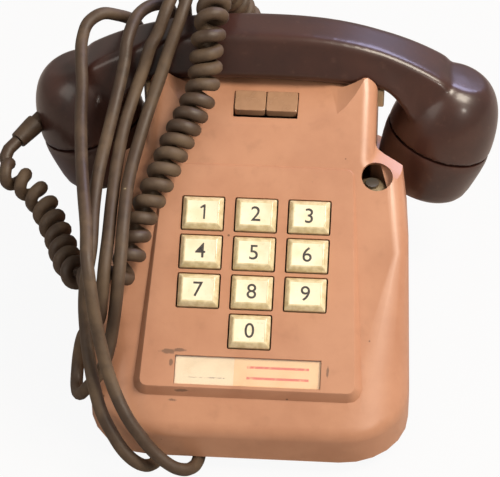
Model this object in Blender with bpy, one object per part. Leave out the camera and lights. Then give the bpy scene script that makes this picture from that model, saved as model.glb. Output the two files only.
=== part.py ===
"""Push-button desk telephone with its handset on the cradle and the line cord wound round it."""
import bmesh
import bpy
from math import atan2, cos, pi, radians, sin, sqrt, tan
from mathutils import Matrix, Vector
from mathutils.geometry import interpolate_bezier
from mathutils.kdtree import KDTree

for old in list(bpy.data.objects):
    bpy.data.objects.remove(old, do_unlink=True)

# Clearances
GAP = 0.0003                # between pieces that touch, or where one is cut for another
KEY_GAP = 0.0007            # round a key in its aperture
HANDLE_GAP = 0.0008         # between the handle and the walls of its trough
SLIVER = 0.00002            # corners closer than this are one corner
FLAT = 0.05                 # a face bent by more degrees than this is split

# Case, measured back from the front wall and up from the table
FOOT_HEIGHT = 0.0078
CASE_WALL = 0.0026
CASE_STEPS = 6              # flats round each corner
HOLLOW_STEPS = 3
CASE_HALF_FRONT = 0.0782    # half width at the front
CASE_HALF_REAR = 0.0665
FRONT_FILLET = 0.0090       # between the front wall and the slope
CORNER_LOW = 0.0320         # front corners, low on the case
CORNER_TOP = 0.0075         # round edge between the slope and the sides
REAR_CORNER = 0.0120
SIDE_STEP = 0.0008          # least distance between two points along the case side
REAR_LEDGE = 0.0108         # wall behind the handle
SHOULDER_SETBACK = 0.1142   # where the case starts to narrow to the neck
NECK_RUN = 0.0110           # length of that curve
NECK_HALF = 0.0553
NECK_AHEAD = 0.6            # the hollow's neck curve lies this many walls ahead
SHELF_Z = 0.0420            # the narrow neck starts above this height
SHELF_RISE = 0.0060
EAR_RISE = 0.0086           # ear tips above the resting handle's underside
EAR_TAPER = 0.0012          # the ears draw in by this at their tips
REAR_RISE = 0.0010          # top of the wall behind the handle above its underside
ROOF_DROP = 0.0090          # roof of the hollow below the handle's underside

# Key face, a wedge that stands proud of the slope
FACE_SETBACK = 0.0705       # middle of the key field
FACE_Z = 0.0744
FACE_SLOPE = radians(31.0)
FACE_UP = 0.0440            # from the middle to its top edge
FACE_DOWN = 0.0665          # from the middle to its bottom edge
FACE_HALF_TOP = 0.0460
FACE_HALF_LOW = 0.0512
FACE_CORNER = 0.0040
FACE_EDGE = 0.0007          # small round on its rim
FACE_DRAFT = 0.55           # sideways run of its walls for each unit of rise
RISE_TOP = 0.0008
RISE_LOW = 0.0050
FACE_THICK = 0.0026

# Keys
KEY_PITCH_X = 0.0254
KEY_PITCH_U = 0.01905
KEY_WIDTH = 0.0194
KEY_DEPTH = 0.0160
KEY_TOP_WIDTH = 0.0157
KEY_TOP_DEPTH = 0.0121
KEY_ROUND = 0.0010
KEY_RIM = 0.0005            # straight part above the face
KEY_RISE = 0.0031           # top of a key above the face
KEY_SKIRT = 0.0070          # below the face
KEY_TRAVEL = 0.0030
KEY_FRAME_EDGE = 0.0035     # frame beyond the outer apertures
BOARD_THICK = 0.0016

# Label under the keys
LABEL_HALF = 0.0345
LABEL_U = -0.05745
LABEL_DEPTH = 0.0139
CARD_THICK = 0.0004
WINDOW_THICK = 0.0011
WINDOW_SUNK = 0.0002

# Round opening in the right shoulder
HOLE_X = 0.0568
HOLE_U = 0.0413
HOLE_RADIUS = 0.0075

# Handset, in its own frame: origin under the middle of the handle
HANDSET_SETBACK = 0.1658
HANDLE_Z = 0.1122
CRADLE_TILT = radians(8.0)
HANDLE_HEIGHT = 0.0230
HANDLE_HALF_LOW = 0.0170
HANDLE_HALF_TOP = 0.0128
HANDLE_ROUND = 0.0045
HANDLE_ARCH = 0.0265        # fall of the handle's top from the middle to the bulbs
HANDLE_ARCH_POWER = 2.5
HANDLE_SAG = 0.0030         # fall of its underside at the ends of the cradle
HANDLE_FLARE = 58.0         # and beyond the cradle, for each square metre of run
HANDLE_TUCK = 0.0045        # its ends draw in by this, inside the bulbs
SWELL_LOW = 0.35            # part of the way to the bulb that the handle widens below
SWELL_TOP = 0.15            # and above
BULB_RADIUS = 0.0267
BULB_CLEAR = 0.0042         # between the neck and a bulb
BULB_DROP = 0.0370          # from the handle's underside to the cap's seam
BULB_DOME = 0.0365          # height of a bulb above the seam
DOME_FULL = 0.62            # powers of its sine curve, outwards and upwards
DOME_STEEP = 1.1
BULB_TURN = radians(18.0)   # the caps face a little inwards
BULB_WALL = 0.0023
CAP_SEAM = 0.0008
CAP_DEPTH = 0.0282
CAP_WALL = 0.0025
CAP_FACE = 0.36             # parts of the bulb's radius and of the cap's depth
CAP_DISH = 0.93
CAP_EYE = 0.90
CAP_ROUND = ((0.66, 1.00), (0.80, 0.97), (0.89, 0.86), (0.96, 0.52), (1.00, 0.18))
CAP_INSIDE = 0.75
CAPSULE_SEAT = 0.50
SPIGOT = 0.0070             # screwed collar of a cap inside its bulb
CAPSULE_THICK = 0.0100
SOUND_HOLE = 0.0016
SOUND_RING = 0.0085
LIFT = 0.0280

# Press tabs in the cradle front
LIP_SETBACK = 0.1295        # lower edge of the scooped front
LIP_DROP = 0.0046           # that edge below the handle's underside
LIP_TILT = radians(8.5)
SCOOP_HALF = 0.0485
SCOOP_RISE = 0.0105
SCOOP_POWER = 4             # it is flat in the middle and steep at the ears
SCOOP_STEPS = 12            # points from the middle to an ear
TAB_WIDTH = 0.0150
TAB_DEPTH = 0.0124
TAB_START = 0.0048          # from the lower edge of the scoop
TAB_THICK = 0.0042
TAB_RISE = 0.0012
TAB_GAP = 0.0004
TAB_SLOT = 0.0036           # open slot below the tabs
TAB_X = 0.0016
TAB_TRAVEL = 0.0020

# Hook switch
PLUNGER_INNER = 0.0488
PLUNGER_PROUD = 0.0030      # beyond the side of the neck
PLUNGER_HALF = 0.0052
PLUNGER_SETBACK = 0.1580
PLUNGER_HEAD = 0.0105
PLUNGER_LENGTH = 0.0270
PLUNGER_TRAVEL = 0.0060
LEVER_THICK = 0.0016
LEVER_ARM = 0.0235
LEVER_WIDTH = 0.0066
BRACKET_THICK = 0.0016
BRACKET_HALF = 0.0300
CONTACT_HALF = 0.0150
CONTACT_DEPTH = 0.0100
CONTACT_HEIGHT = 0.0180
CONTACT_DROP = 0.0200       # below the lever

# Base and what stands on it
BASE_THICK = 0.0025
FOOT_RADIUS = 0.0070
FOOT_TOE = 0.85             # parts of its radius and height where its edge is cut
FOOT_EDGE = 0.20
FOOT_INSET_X = 0.0200
FOOT_INSET_Y = 0.0190
SCREW_RADIUS = 0.0015
SCREW_HEAD_RADIUS = 0.0032
SCREW_HEAD = 0.0018
SCREW_LENGTH = 0.0100
BOSS_RADIUS = 0.0045
BOSS_HEIGHT = 0.0140
POST_RADIUS = 0.0030
POST_HEIGHT = 0.0050
BOARD_HALF = 0.0600
BOARD_SETBACK = 0.0130
BOARD_LENGTH = 0.0620
CAPACITOR_RADIUS = 0.0075
CAPACITOR_LENGTH = 0.0300
COIL_WIDTH = 0.0280
COIL_DEPTH = 0.0220
COIL_HEIGHT = 0.0180
TERMINAL_WIDTH = 0.0500
TERMINAL_DEPTH = 0.0100
TERMINAL_HEIGHT = 0.0090

# Ringer
GONG_RADIUS = 0.0090
GONG_HEIGHT = 0.0105
GONG_WALL = 0.0010
GONG_BOWL = ((0.55, 0.0), (0.86, 0.22), (1.0, 0.6), (1.0, 1.0))  # parts of its radius and height
GONG_SIDE = 0.0055          # between the gong and the case's side
GONG_AHEAD = 0.0052         # its middle ahead of the shoulder
GONG_DROP = 0.0100          # its top below the slope
GONG_AIR = 0.0013           # between the gong and the clapper's ball
GONG_LIFT = 0.0030          # rim above the platform
GONG_SCREW = 0.0016
GONG_SCREW_HEAD = 0.0032
SHEET = 0.0016
RINGER_HALF_DEPTH = 0.0075
SPOOL_LENGTH = 0.0220
RINGER_SPOOL = 0.0085
SPOOL_FLANGE = 0.0100
CLAPPER_DROP = 0.0075       # pivot below the platform
CLAPPER_PIN = 0.0010
CLAPPER_ROD = 0.0008
CLAPPER_BALL = 0.0022
CLAPPER_BALL_DROP = 0.0075  # below the top of the gong
CLAPPER_TAIL = 0.0120
CLAPPER_AIR = 0.0014        # between the tail and the spool

# Cords
CORD_RADIUS = 0.0031
CORD_SLEEVE = 1.4           # end of a sleeve to the cord in it
CURL_WIRE = 0.00315         # radius of the curled cord
CURL_RADIUS = 0.0052        # from the middle of a curl to the middle of its wire
CURL_OPEN = 0.0086          # pitch of the stretch that is pulled apart
CURL_SHUT = 0.0070          # pitch where the curls lie close
CURL_OPEN_RADIUS = 0.0044   # of the curls there
CURL_OPEN_RUN = 0.1650      # length of the pulled stretch, from the handset
CURL_OPEN_END = 0.0500      # and at the case
CURL_EASE = 0.0350          # run over which the pitch changes
CURL_GROW = 0.0120          # run over which the first curl reaches its radius
CURL_POINTS = 8             # points for each curl
CURL_STEPS = 40             # points between two places of its route
LINE_STEPS = 2              # and of the line cord's
PLUG_LENGTH = 0.0150
PLUG_HALF = 0.0058
PLUG_HEIGHT = 0.0070
PLUG_COLLAR = 0.0040
PLUG_TONGUE = 0.0090
PLUG_LATCH = 0.7            # top of its tongue, in parts of its height
LINE_GROMMET_X = -0.0120
HANDSET_GROMMET_X = 0.0300
GROMMET_Z = 0.0210
GROMMET_RADIUS = 0.0048
GROMMET_FLANGE = 0.0068
GROMMET_LENGTH = 0.0120
GLAND_LENGTH = 0.0135
GLAND_PLUG = 0.0040
GLAND_RADIUS = 0.0050
GLAND_HEIGHT = 0.0130       # above the seam of the mouthpiece cap
GLAND_TURN = radians(205.0)  # where it sits round the bulb, and where it points
GLAND_AIM = radians(225.0)
GLAND_FALL = 0.16           # drop for each unit of its run

# Places that follow from the sizes above
HANDSET_REAR = HANDSET_SETBACK + HANDLE_HALF_LOW + HANDLE_GAP
CASE_DEPTH = HANDSET_REAR + REAR_LEDGE
FRONT_Y = -CASE_DEPTH / 2
REAR_Y = CASE_DEPTH / 2
RIM_Z = FOOT_HEIGHT
EAR_Z = HANDLE_Z + EAR_RISE
ROOF_Z = HANDLE_Z - ROOF_DROP
BULB_X = NECK_HALF + BULB_CLEAR + BULB_RADIUS

FACE = Matrix.Translation((0, FRONT_Y + FACE_SETBACK, FACE_Z)) @ Matrix.Rotation(FACE_SLOPE, 4, "X")
HANDSET = Matrix.Translation((0, FRONT_Y + HANDSET_SETBACK, HANDLE_Z))
HANDSET = HANDSET @ Matrix.Rotation(-CRADLE_TILT, 4, "X")
LIP_Z = HANDLE_Z - LIP_DROP
LIP = Matrix.Translation((0, FRONT_Y + LIP_SETBACK, LIP_Z)) @ Matrix.Rotation(LIP_TILT, 4, "X")


def rise(u):
    """How far the key face stands above the slope at the distance u up the face."""
    part = (u + FACE_DOWN) / (FACE_UP + FACE_DOWN)
    return RISE_LOW + (RISE_TOP - RISE_LOW) * part


SLOPE_LOW = FACE @ Vector((0, -FACE_DOWN, -RISE_LOW))
SLOPE_HIGH = FACE @ Vector((0, FACE_UP, -RISE_TOP))
SLOPE = atan2(SLOPE_HIGH.z - SLOPE_LOW.z, SLOPE_HIGH.y - SLOPE_LOW.y)


def material(name, colour, roughness, metallic=0.0):
    made = bpy.data.materials.new(name)
    made.use_nodes = True
    shader = made.node_tree.nodes["Principled BSDF"]
    shader.inputs["Base Color"].default_value = (*colour, 1.0)
    shader.inputs["Roughness"].default_value = roughness
    shader.inputs["Metallic"].default_value = metallic
    return made


def closed(bm, matrix):
    """Finish a solid: faces outwards, moved to its place in the mesh."""
    bmesh.ops.remove_doubles(bm, verts=bm.verts, dist=1e-7)
    bmesh.ops.recalc_face_normals(bm, faces=bm.faces)
    bmesh.ops.connect_verts_nonplanar(bm, angle_limit=radians(FLAT), faces=bm.faces)
    if matrix is not None:
        bmesh.ops.transform(bm, matrix=matrix, verts=bm.verts)
    return bm


def bodies(*solids):
    """One temporary object that holds all the given solids."""
    mesh = bpy.data.meshes.new("shape")
    whole = bmesh.new()
    for bm in solids:
        bm.to_mesh(mesh)
        bm.free()
        whole.from_mesh(mesh)
    whole.to_mesh(mesh)
    whole.free()
    made = bpy.data.objects.new("shape", mesh)
    bpy.context.scene.collection.objects.link(made)
    return made


def combine(body, tool, operation):
    """Cut, join or intersect the body with a tool, which is used up."""
    step = body.modifiers.new("step", "BOOLEAN")
    step.operation = operation
    step.solver = "EXACT"
    step.object = tool
    bpy.context.view_layer.update()
    graph = bpy.context.evaluated_depsgraph_get()
    body.data = bpy.data.meshes.new_from_object(body.evaluated_get(graph))
    bm = bmesh.new()
    bm.from_mesh(body.data)
    bmesh.ops.remove_doubles(bm, verts=bm.verts, dist=SLIVER)
    bm.to_mesh(body.data)
    bm.free()
    body.modifiers.clear()
    bpy.data.objects.remove(tool, do_unlink=True)
    return body


def finish(body, name, look, place=None, smooth=40.0):
    """Name a piece, give it its material and put its origin at its place."""
    mesh = body.data
    bm = bmesh.new()
    bm.from_mesh(mesh)
    bmesh.ops.dissolve_degenerate(bm, edges=bm.edges, dist=1e-6)
    bmesh.ops.dissolve_limit(bm, angle_limit=radians(0.2), verts=bm.verts, edges=bm.edges)
    bmesh.ops.triangulate(bm, faces=bm.faces)
    if place is not None:
        bmesh.ops.transform(bm, matrix=place.inverted(), verts=bm.verts)
        body.matrix_world = place
    bm.to_mesh(mesh)
    bm.free()
    mesh.materials.clear()
    mesh.materials.append(look)
    mesh.shade_smooth()
    mesh.set_sharp_from_angle(angle=radians(smooth))
    mesh.name = name
    body.name = name
    return body


def loft(rings, matrix=None):
    """A solid through rings of equally many points, closed at both ends."""
    bm = bmesh.new()
    rows = [[bm.verts.new(point) for point in ring] for ring in rings]
    count = len(rows[0])
    for low, high in zip(rows, rows[1:]):
        for i in range(count):
            j = (i + 1) % count
            bm.faces.new((low[i], low[j], high[j], high[i]))
    bm.faces.new(rows[0])
    bm.faces.new(rows[-1])
    return closed(bm, matrix)


def prism(outline, low, high, matrix=None):
    """A flat outline drawn up from low to high."""
    return loft([[(x, y, z) for x, y in outline] for z in (low, high)], matrix)


def block(x0, x1, y0, y1, z0, z1, matrix=None):
    return prism([(x0, y0), (x1, y0), (x1, y1), (x0, y1)], z0, z1, matrix)


def turned(profile, sides, matrix=None, ring=False):
    """A solid of revolution about Z through (radius, height) points."""
    bm = bmesh.new()
    rows = []
    for radius, height in profile:
        if radius < 1e-9:
            rows.append([bm.verts.new((0, 0, height))])
            continue
        turn = [2 * pi * i / sides for i in range(sides)]
        rows.append([bm.verts.new((radius * cos(a), radius * sin(a), height)) for a in turn])
    pairs = list(zip(rows, rows[1:]))
    if ring:
        pairs.append((rows[-1], rows[0]))
    for low, high in pairs:
        for i in range(sides):
            j = (i + 1) % sides
            corners = [low[i % len(low)], low[j % len(low)], high[j % len(high)], high[i % len(high)]]
            corners = list(dict.fromkeys(corners))
            if len(corners) > 2:
                bm.faces.new(corners)
    for row in (rows[0], rows[-1]):
        if not ring and len(row) > 1:
            bm.faces.new(row)
    return closed(bm, matrix)


def rod(radius, start, end, sides=12, end_radius=None):
    """A round bar, or a taper, between two points."""
    start, end = Vector(start), Vector(end)
    along = end - start
    turn = along.to_track_quat("Z", "Y").to_matrix().to_4x4()
    last = radius if end_radius is None else end_radius
    return turned([(radius, 0), (last, along.length)], sides, Matrix.Translation(start) @ turn)


def rounded(half_x, half_y, radius, steps=2, middle=(0.0, 0.0)):
    """Corner points of a rectangle with round corners."""
    points = []
    for quarter, (sx, sy) in enumerate(((1, 1), (-1, 1), (-1, -1), (1, -1))):
        for step in range(steps + 1):
            angle = pi / 2 * (quarter + step / steps)
            x = sx * (half_x - radius) + radius * cos(angle)
            y = sy * (half_y - radius) + radius * sin(angle)
            points.append((middle[0] + x, middle[1] + y))
    return points


# Looks
CASE_LOOK = material("tan case plastic", (0.578, 0.305, 0.171), 0.38)
DARK_LOOK = material("brown handset plastic", (0.115, 0.056, 0.042), 0.33)
KEY_LOOK = material("cream key plastic", (0.871, 0.791, 0.509), 0.30)
CLEAR_LOOK = material("clear plastic", (0.80, 0.74, 0.60), 0.15)
CARD_LOOK = material("label card", (0.913, 0.753, 0.546), 0.80)
CORD_LOOK = material("olive brown cord", (0.130, 0.085, 0.056), 0.45)
RUBBER_LOOK = material("black rubber", (0.02, 0.02, 0.02), 0.85)
STEEL_LOOK = material("plated steel", (0.55, 0.55, 0.53), 0.35, 1.0)
GONG_LOOK = material("dull gong metal", (0.30, 0.26, 0.20), 0.40, 1.0)
BOARD_LOOK = material("brown circuit board", (0.19, 0.10, 0.035), 0.60)
INNER_LOOK = material("grey moulded plastic", (0.25, 0.25, 0.25), 0.50)
COPPER_LOOK = material("wound copper", (0.45, 0.19, 0.08), 0.45, 1.0)


def plan_half(y, z, inset):
    """Half width of the case at depth y and height z, or of its hollow with an inset."""
    part = (y - FRONT_Y) / CASE_DEPTH
    wide = CASE_HALF_FRONT + (CASE_HALF_REAR - CASE_HALF_FRONT) * part
    along = (y + NECK_AHEAD * inset - FRONT_Y - SHOULDER_SETBACK) / NECK_RUN
    along = min(max(along, 0.0), 1.0)
    ease = along * along * (3 - 2 * along)
    tip = max(0.0, (z - HANDLE_Z) / EAR_RISE)
    narrow = wide + (NECK_HALF - EAR_TAPER * tip * tip - wide) * ease
    up = min(max((z - SHELF_Z) / SHELF_RISE, 0.0), 1.0)
    return wide + (narrow - wide) * up - inset


def slope_y(z, inset):
    """Depth of the sloping top of the case at a height."""
    return SLOPE_LOW.y + (z - SLOPE_LOW.z) / tan(SLOPE) + inset / sin(SLOPE)


def front_profile(inset, bottom, top, steps):
    """Points (y, z) up the front wall, round its fillet and up the slope."""
    radius = FRONT_FILLET - inset
    centre_y = FRONT_Y + FRONT_FILLET
    drop = (centre_y - SLOPE_LOW.y) * sin(SLOPE) - FRONT_FILLET
    centre_z = SLOPE_LOW.z + drop / cos(SLOPE)
    points = [(FRONT_Y + inset, bottom)]
    last = pi / 2 + SLOPE
    for step in range(steps + 1):
        angle = pi + (last - pi) * step / steps
        points.append((centre_y + radius * cos(angle), centre_z + radius * sin(angle)))
    shoulder_z = SLOPE_LOW.z + (FRONT_Y + SHOULDER_SETBACK - SLOPE_LOW.y) * tan(SLOPE)
    neck_rise = NECK_RUN * tan(SLOPE)
    heights = [SHELF_Z, SHELF_Z + SHELF_RISE, (SHELF_Z + SHELF_RISE + shoulder_z) / 2]
    heights += [shoulder_z - neck_rise * (1 - step / (steps - 1)) for step in range(2 * steps - 1)]
    heights += [HANDLE_Z, HANDLE_Z + EAR_RISE / 2]
    rows = [points[-1][1]]
    for z in sorted(heights):
        if rows[-1] + SIDE_STEP < z < top - CASE_WALL / 2:
            rows.append(z)
    return points + [(slope_y(z, inset), z) for z in rows[1:] + [top]]


def case_ring(y, z, inset, steps):
    """Outline of the case at one height, with its front edge at y."""
    low = min(max((z - RIM_Z - 0.5 * SHELF_Z) / SHELF_Z, 0.0), 1.0)
    round_x = CORNER_LOW + (CORNER_TOP - CORNER_LOW) * low - inset
    round_y = CORNER_LOW + (CORNER_TOP / sin(SLOPE) - CORNER_LOW) * low - inset
    start = y + round_y
    half = plan_half(start, z, inset)
    side = []
    for step in range(steps + 1):
        angle = pi / 2 * step / steps
        side.append((half - round_x * (1 - sin(angle)), y + round_y * (1 - cos(angle))))
    rear = REAR_Y - inset
    round_rear = REAR_CORNER - inset
    shoulder = FRONT_Y + SHOULDER_SETBACK
    for step in range(steps + 3):
        there = max(shoulder + NECK_RUN * (step - 1) / (steps + 1), start + SIDE_STEP * (step + 1))
        side.append((plan_half(there, z, inset), there))
    for step in range(steps):
        angle = pi / 2 * step / (steps - 1)
        there = rear - round_rear * (1 - sin(angle))
        side.append((plan_half(there, z, inset) - round_rear * (1 - cos(angle)), there))
    ring = [(x, there, z) for x, there in side]
    return ring + [(-x, there, z) for x, there, z in reversed(ring)]


def case_solid(inset, bottom, top, steps):
    return loft([case_ring(y, z, inset, steps) for y, z in front_profile(inset, bottom, top, steps)])


def face_outline(grow):
    """Outline of the key face, larger by grow, as (x, u) points with round corners."""
    corners = [(FACE_HALF_TOP, FACE_UP), (-FACE_HALF_TOP, FACE_UP),
               (-FACE_HALF_LOW, -FACE_DOWN), (FACE_HALF_LOW, -FACE_DOWN)]
    radius = FACE_CORNER + grow
    points = []
    for quarter, (x, u) in enumerate(corners):
        middle_x = x - FACE_CORNER * (1 if x > 0 else -1)
        middle_u = u - FACE_CORNER * (1 if u > 0 else -1)
        for step in range(4):
            angle = pi / 2 * (quarter + step / 3)
            points.append((middle_x + radius * cos(angle), middle_u + radius * sin(angle)))
    return points


# Upper case: one moulding with the key face, the neck and the cradle
def under(x):
    """Height of the handle's underside, in the handset's frame."""
    out = max(0.0, abs(x) - NECK_HALF)
    return -HANDLE_SAG * (x / NECK_HALF) ** 2 - HANDLE_FLARE * out * out


FACE_EMBED = 0.0015
wall_foot = []
for index, (x, u) in enumerate(face_outline(0.0)):
    depth = rise(u) + FACE_EMBED
    wide = face_outline(FACE_DRAFT * depth)[index]
    wall_foot.append((wide[0], wide[1], -depth))
face_rings = [
    [(x, u, 0.0) for x, u in face_outline(-FACE_EDGE)],
    [(x, u, -FACE_EDGE) for x, u in face_outline(0.0)],
    wall_foot,
]
upper_case = bodies(case_solid(0.0, RIM_Z, EAR_Z, CASE_STEPS))
combine(upper_case, bodies(loft(face_rings, FACE)), "UNION")

# Trough for the handle, open upwards, and the scoop between the ears
TROUGH_HALF = HANDLE_HALF_LOW + HANDLE_GAP
CRADLE_HALF = NECK_HALF + CASE_WALL
TROUGH_FRONT = (HANDSET @ Vector((0, -TROUGH_HALF, -HANDLE_SAG))).y
TROUGH_REAR = (HANDSET @ Vector((0, TROUGH_HALF, HANDLE_ROUND))).y
trough = []
for step in range(9):
    x = CRADLE_HALF * (step / 4 - 1)
    front_z = (HANDSET @ Vector((x, -TROUGH_HALF, under(x) - GAP))).z
    rear_z = (HANDSET @ Vector((x, TROUGH_HALF, under(x) - GAP))).z
    top = EAR_Z + CASE_WALL
    corners = [(TROUGH_FRONT, front_z), (TROUGH_REAR, rear_z),
               (TROUGH_REAR, top), (TROUGH_FRONT, top)]
    trough.append([(x, y, z) for y, z in corners])
combine(upper_case, bodies(loft(trough)), "DIFFERENCE")
scoop = []
for step in range(-SCOOP_STEPS, SCOOP_STEPS + 1):
    part = step / SCOOP_STEPS
    scoop.append((SCOOP_HALF * part, SCOOP_RISE * abs(part) ** SCOOP_POWER))
scoop += [(SCOOP_HALF, 4 * SCOOP_RISE), (-SCOOP_HALF, 4 * SCOOP_RISE)]
LIP_PRISM = LIP @ Matrix.Rotation(pi / 2, 4, "X")
combine(upper_case, bodies(prism(scoop, -CASE_DEPTH, CASE_DEPTH, LIP_PRISM)), "DIFFERENCE")

# The wall behind the handle is low, so that the handle hides it
rear_cut = block(-CASE_HALF_FRONT, CASE_HALF_FRONT, TROUGH_REAR - GAP, REAR_Y + CASE_WALL,
                 HANDLE_Z + REAR_RISE, EAR_Z + CASE_WALL)
combine(upper_case, bodies(rear_cut), "DIFFERENCE")

# The hollow, with a flat pocket under the keys
combine(upper_case, bodies(case_solid(CASE_WALL, 0.0, ROOF_Z, HOLLOW_STEPS)), "DIFFERENCE")
FRAME_HALF = KEY_PITCH_X + KEY_WIDTH / 2 + KEY_GAP + KEY_FRAME_EDGE
FRAME_TOP = KEY_PITCH_U + KEY_DEPTH / 2 + KEY_GAP + KEY_FRAME_EDGE
FRAME_LOW = -2 * KEY_PITCH_U - KEY_DEPTH / 2 - KEY_GAP - KEY_FRAME_EDGE
FRAME_DEPTH = FACE_THICK + GAP
FRAME_BOTTOM = KEY_SKIRT + KEY_TRAVEL + GAP
BOARD_BOTTOM = FRAME_BOTTOM + GAP + BOARD_THICK
pocket = block(-FRAME_HALF - GAP, FRAME_HALF + GAP, FRAME_LOW - GAP, FRAME_TOP + GAP,
               -BOARD_BOTTOM - CASE_WALL, -FACE_THICK, FACE)
combine(upper_case, bodies(pocket), "DIFFERENCE")

KEYS = {str(3 * (1 - row) + column + 2): (column * KEY_PITCH_X, row * KEY_PITCH_U)
        for row in (1, 0, -1) for column in (-1, 0, 1)}
KEYS["0"] = (0.0, -2 * KEY_PITCH_U)


def key_windows(low, high, steps):
    """Straight openings for all the keys between two depths of the face."""
    half_x, half_u = KEY_WIDTH / 2 + KEY_GAP, KEY_DEPTH / 2 + KEY_GAP
    corner = KEY_ROUND if steps > 1 else KEY_GAP
    return bodies(*[prism(rounded(half_x, half_u, corner, steps, middle), low, high, FACE)
                    for middle in KEYS.values()])


combine(upper_case, key_windows(-FRAME_DEPTH - CASE_WALL, KEY_RISE, 2), "DIFFERENCE")
LABEL_FLOOR = WINDOW_SUNK + WINDOW_THICK + GAP + CARD_THICK + GAP
recess = block(-LABEL_HALF, LABEL_HALF, LABEL_U - LABEL_DEPTH / 2, LABEL_U + LABEL_DEPTH / 2,
               -LABEL_FLOOR, KEY_RISE, FACE)
hole_place = FACE @ Matrix.Translation((HOLE_X, HOLE_U, 0))
hole = turned([(HOLE_RADIUS, -3 * CASE_WALL), (HOLE_RADIUS, CASE_WALL)], 32, hole_place)
combine(upper_case, bodies(recess, hole), "DIFFERENCE")

# Opening for the two press tabs
TABS_HALF = TAB_WIDTH + 1.5 * TAB_GAP
TAB_TOP = TAB_START + TAB_DEPTH
tab_well = block(TAB_X - TABS_HALF, TAB_X + TABS_HALF, TAB_START - TAB_SLOT, TAB_TOP + TAB_GAP,
                 ROOF_Z - LIP_Z - CASE_WALL, SCOOP_RISE, LIP)
combine(upper_case, bodies(tab_well), "DIFFERENCE")

# Slots for the hook plungers, open to the side for their heads
PLUNGER_Y = FRONT_Y + PLUNGER_SETBACK
PLUNGER_OUTER = NECK_HALF + PLUNGER_PROUD
PLUNGER_BLADE = NECK_HALF - CASE_WALL - 2 * GAP
plunger_rear = PLUNGER_SETBACK + PLUNGER_HALF - HANDSET_SETBACK
PLUNGER_TOP = (HANDSET @ Vector((PLUNGER_OUTER, plunger_rear, under(PLUNGER_OUTER)))).z - GAP
HEAD_Z = PLUNGER_TOP - PLUNGER_HEAD
for side in (-1, 1):
    y0, y1 = PLUNGER_Y - PLUNGER_HALF - GAP, PLUNGER_Y + PLUNGER_HALF + GAP
    inner, blade = side * (PLUNGER_INNER - GAP), side * (PLUNGER_BLADE + GAP)
    outer = side * (PLUNGER_OUTER + CASE_WALL)
    head_slot = block(min(inner, outer), max(inner, outer), y0, y1, HEAD_Z - GAP, EAR_Z + CASE_WALL)
    blade_slot = block(min(inner, blade), max(inner, blade), y0, y1,
                       ROOF_Z - CASE_WALL, HEAD_Z + CASE_WALL)
    combine(upper_case, bodies(head_slot), "DIFFERENCE")
    combine(upper_case, bodies(blade_slot), "DIFFERENCE")

# Screw bosses on the front and rear walls, and the holes for the cord grommets
PLATE_TOP = RIM_Z + BASE_THICK
BOSS_BITE = 0.0010
boss_in = CASE_WALL + BOSS_RADIUS - BOSS_BITE
BOSSES = {"front": FRONT_Y + boss_in, "rear": REAR_Y - boss_in}
for y in BOSSES.values():
    post = rod(BOSS_RADIUS, (0, y, PLATE_TOP + GAP), (0, y, PLATE_TOP + GAP + BOSS_HEIGHT))
    combine(upper_case, bodies(post), "UNION")
    bore = rod(SCREW_RADIUS + GAP, (0, y, RIM_Z), (0, y, PLATE_TOP + SCREW_LENGTH), 10)
    combine(upper_case, bodies(bore), "DIFFERENCE")
GROMMETS = {"line": LINE_GROMMET_X, "handset": HANDSET_GROMMET_X}
for x in GROMMETS.values():
    bore = rod(GROMMET_RADIUS + GAP, (x, REAR_Y - 3 * CASE_WALL, GROMMET_Z),
               (x, REAR_Y + CASE_WALL, GROMMET_Z), 16)
    combine(upper_case, bodies(bore), "DIFFERENCE")
finish(upper_case, "upper_case", CASE_LOOK)

# Base plate with the posts of the circuit board, its feet and its screws
base_inset = CASE_WALL + GAP
plate = loft([case_ring(FRONT_Y + base_inset, z, base_inset, HOLLOW_STEPS) for z in (RIM_Z, PLATE_TOP)])
base_plate = bodies(plate)
BOARD_FRONT = FRONT_Y + BOARD_SETBACK
BOARD_REAR = BOARD_FRONT + BOARD_LENGTH
post_in = 2 * POST_RADIUS
for x in (-BOARD_HALF + post_in, BOARD_HALF - post_in):
    for y in (BOARD_FRONT + post_in, BOARD_REAR - post_in):
        post = rod(POST_RADIUS, (x, y, RIM_Z + BASE_THICK / 2), (x, y, PLATE_TOP + POST_HEIGHT), 10)
        combine(base_plate, bodies(post), "UNION")
for name, y in BOSSES.items():
    bore = rod(SCREW_RADIUS + GAP, (0, y, 0), (0, y, PLATE_TOP + GAP), 10)
    combine(base_plate, bodies(bore), "DIFFERENCE")
    shank_top = PLATE_TOP + SCREW_LENGTH - GAP
    head_top = RIM_Z - GAP
    profile = [(0, head_top - SCREW_HEAD), (SCREW_HEAD_RADIUS, head_top - SCREW_HEAD),
               (SCREW_HEAD_RADIUS, head_top), (SCREW_RADIUS, head_top),
               (SCREW_RADIUS, shank_top), (0, shank_top)]
    screw = turned(profile, 10, Matrix.Translation((0, y, 0)))
    finish(bodies(screw), "base_screw_" + name, STEEL_LOOK)
finish(base_plate, "base_plate", INNER_LOOK)
for end, y in (("front", FRONT_Y + FOOT_INSET_Y), ("rear", REAR_Y - FOOT_INSET_Y)):
    for side, sign in (("left", -1), ("right", 1)):
        x = sign * (plan_half(y, RIM_Z, 0.0) - FOOT_INSET_X)
        profile = [(FOOT_TOE * FOOT_RADIUS, 0), (FOOT_RADIUS, FOOT_EDGE * FOOT_HEIGHT),
                   (FOOT_RADIUS, FOOT_HEIGHT - GAP)]
        foot = turned(profile, 16, Matrix.Translation((x, y, 0)))
        finish(bodies(foot), "foot_" + end + "_" + side, RUBBER_LOOK)

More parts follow.
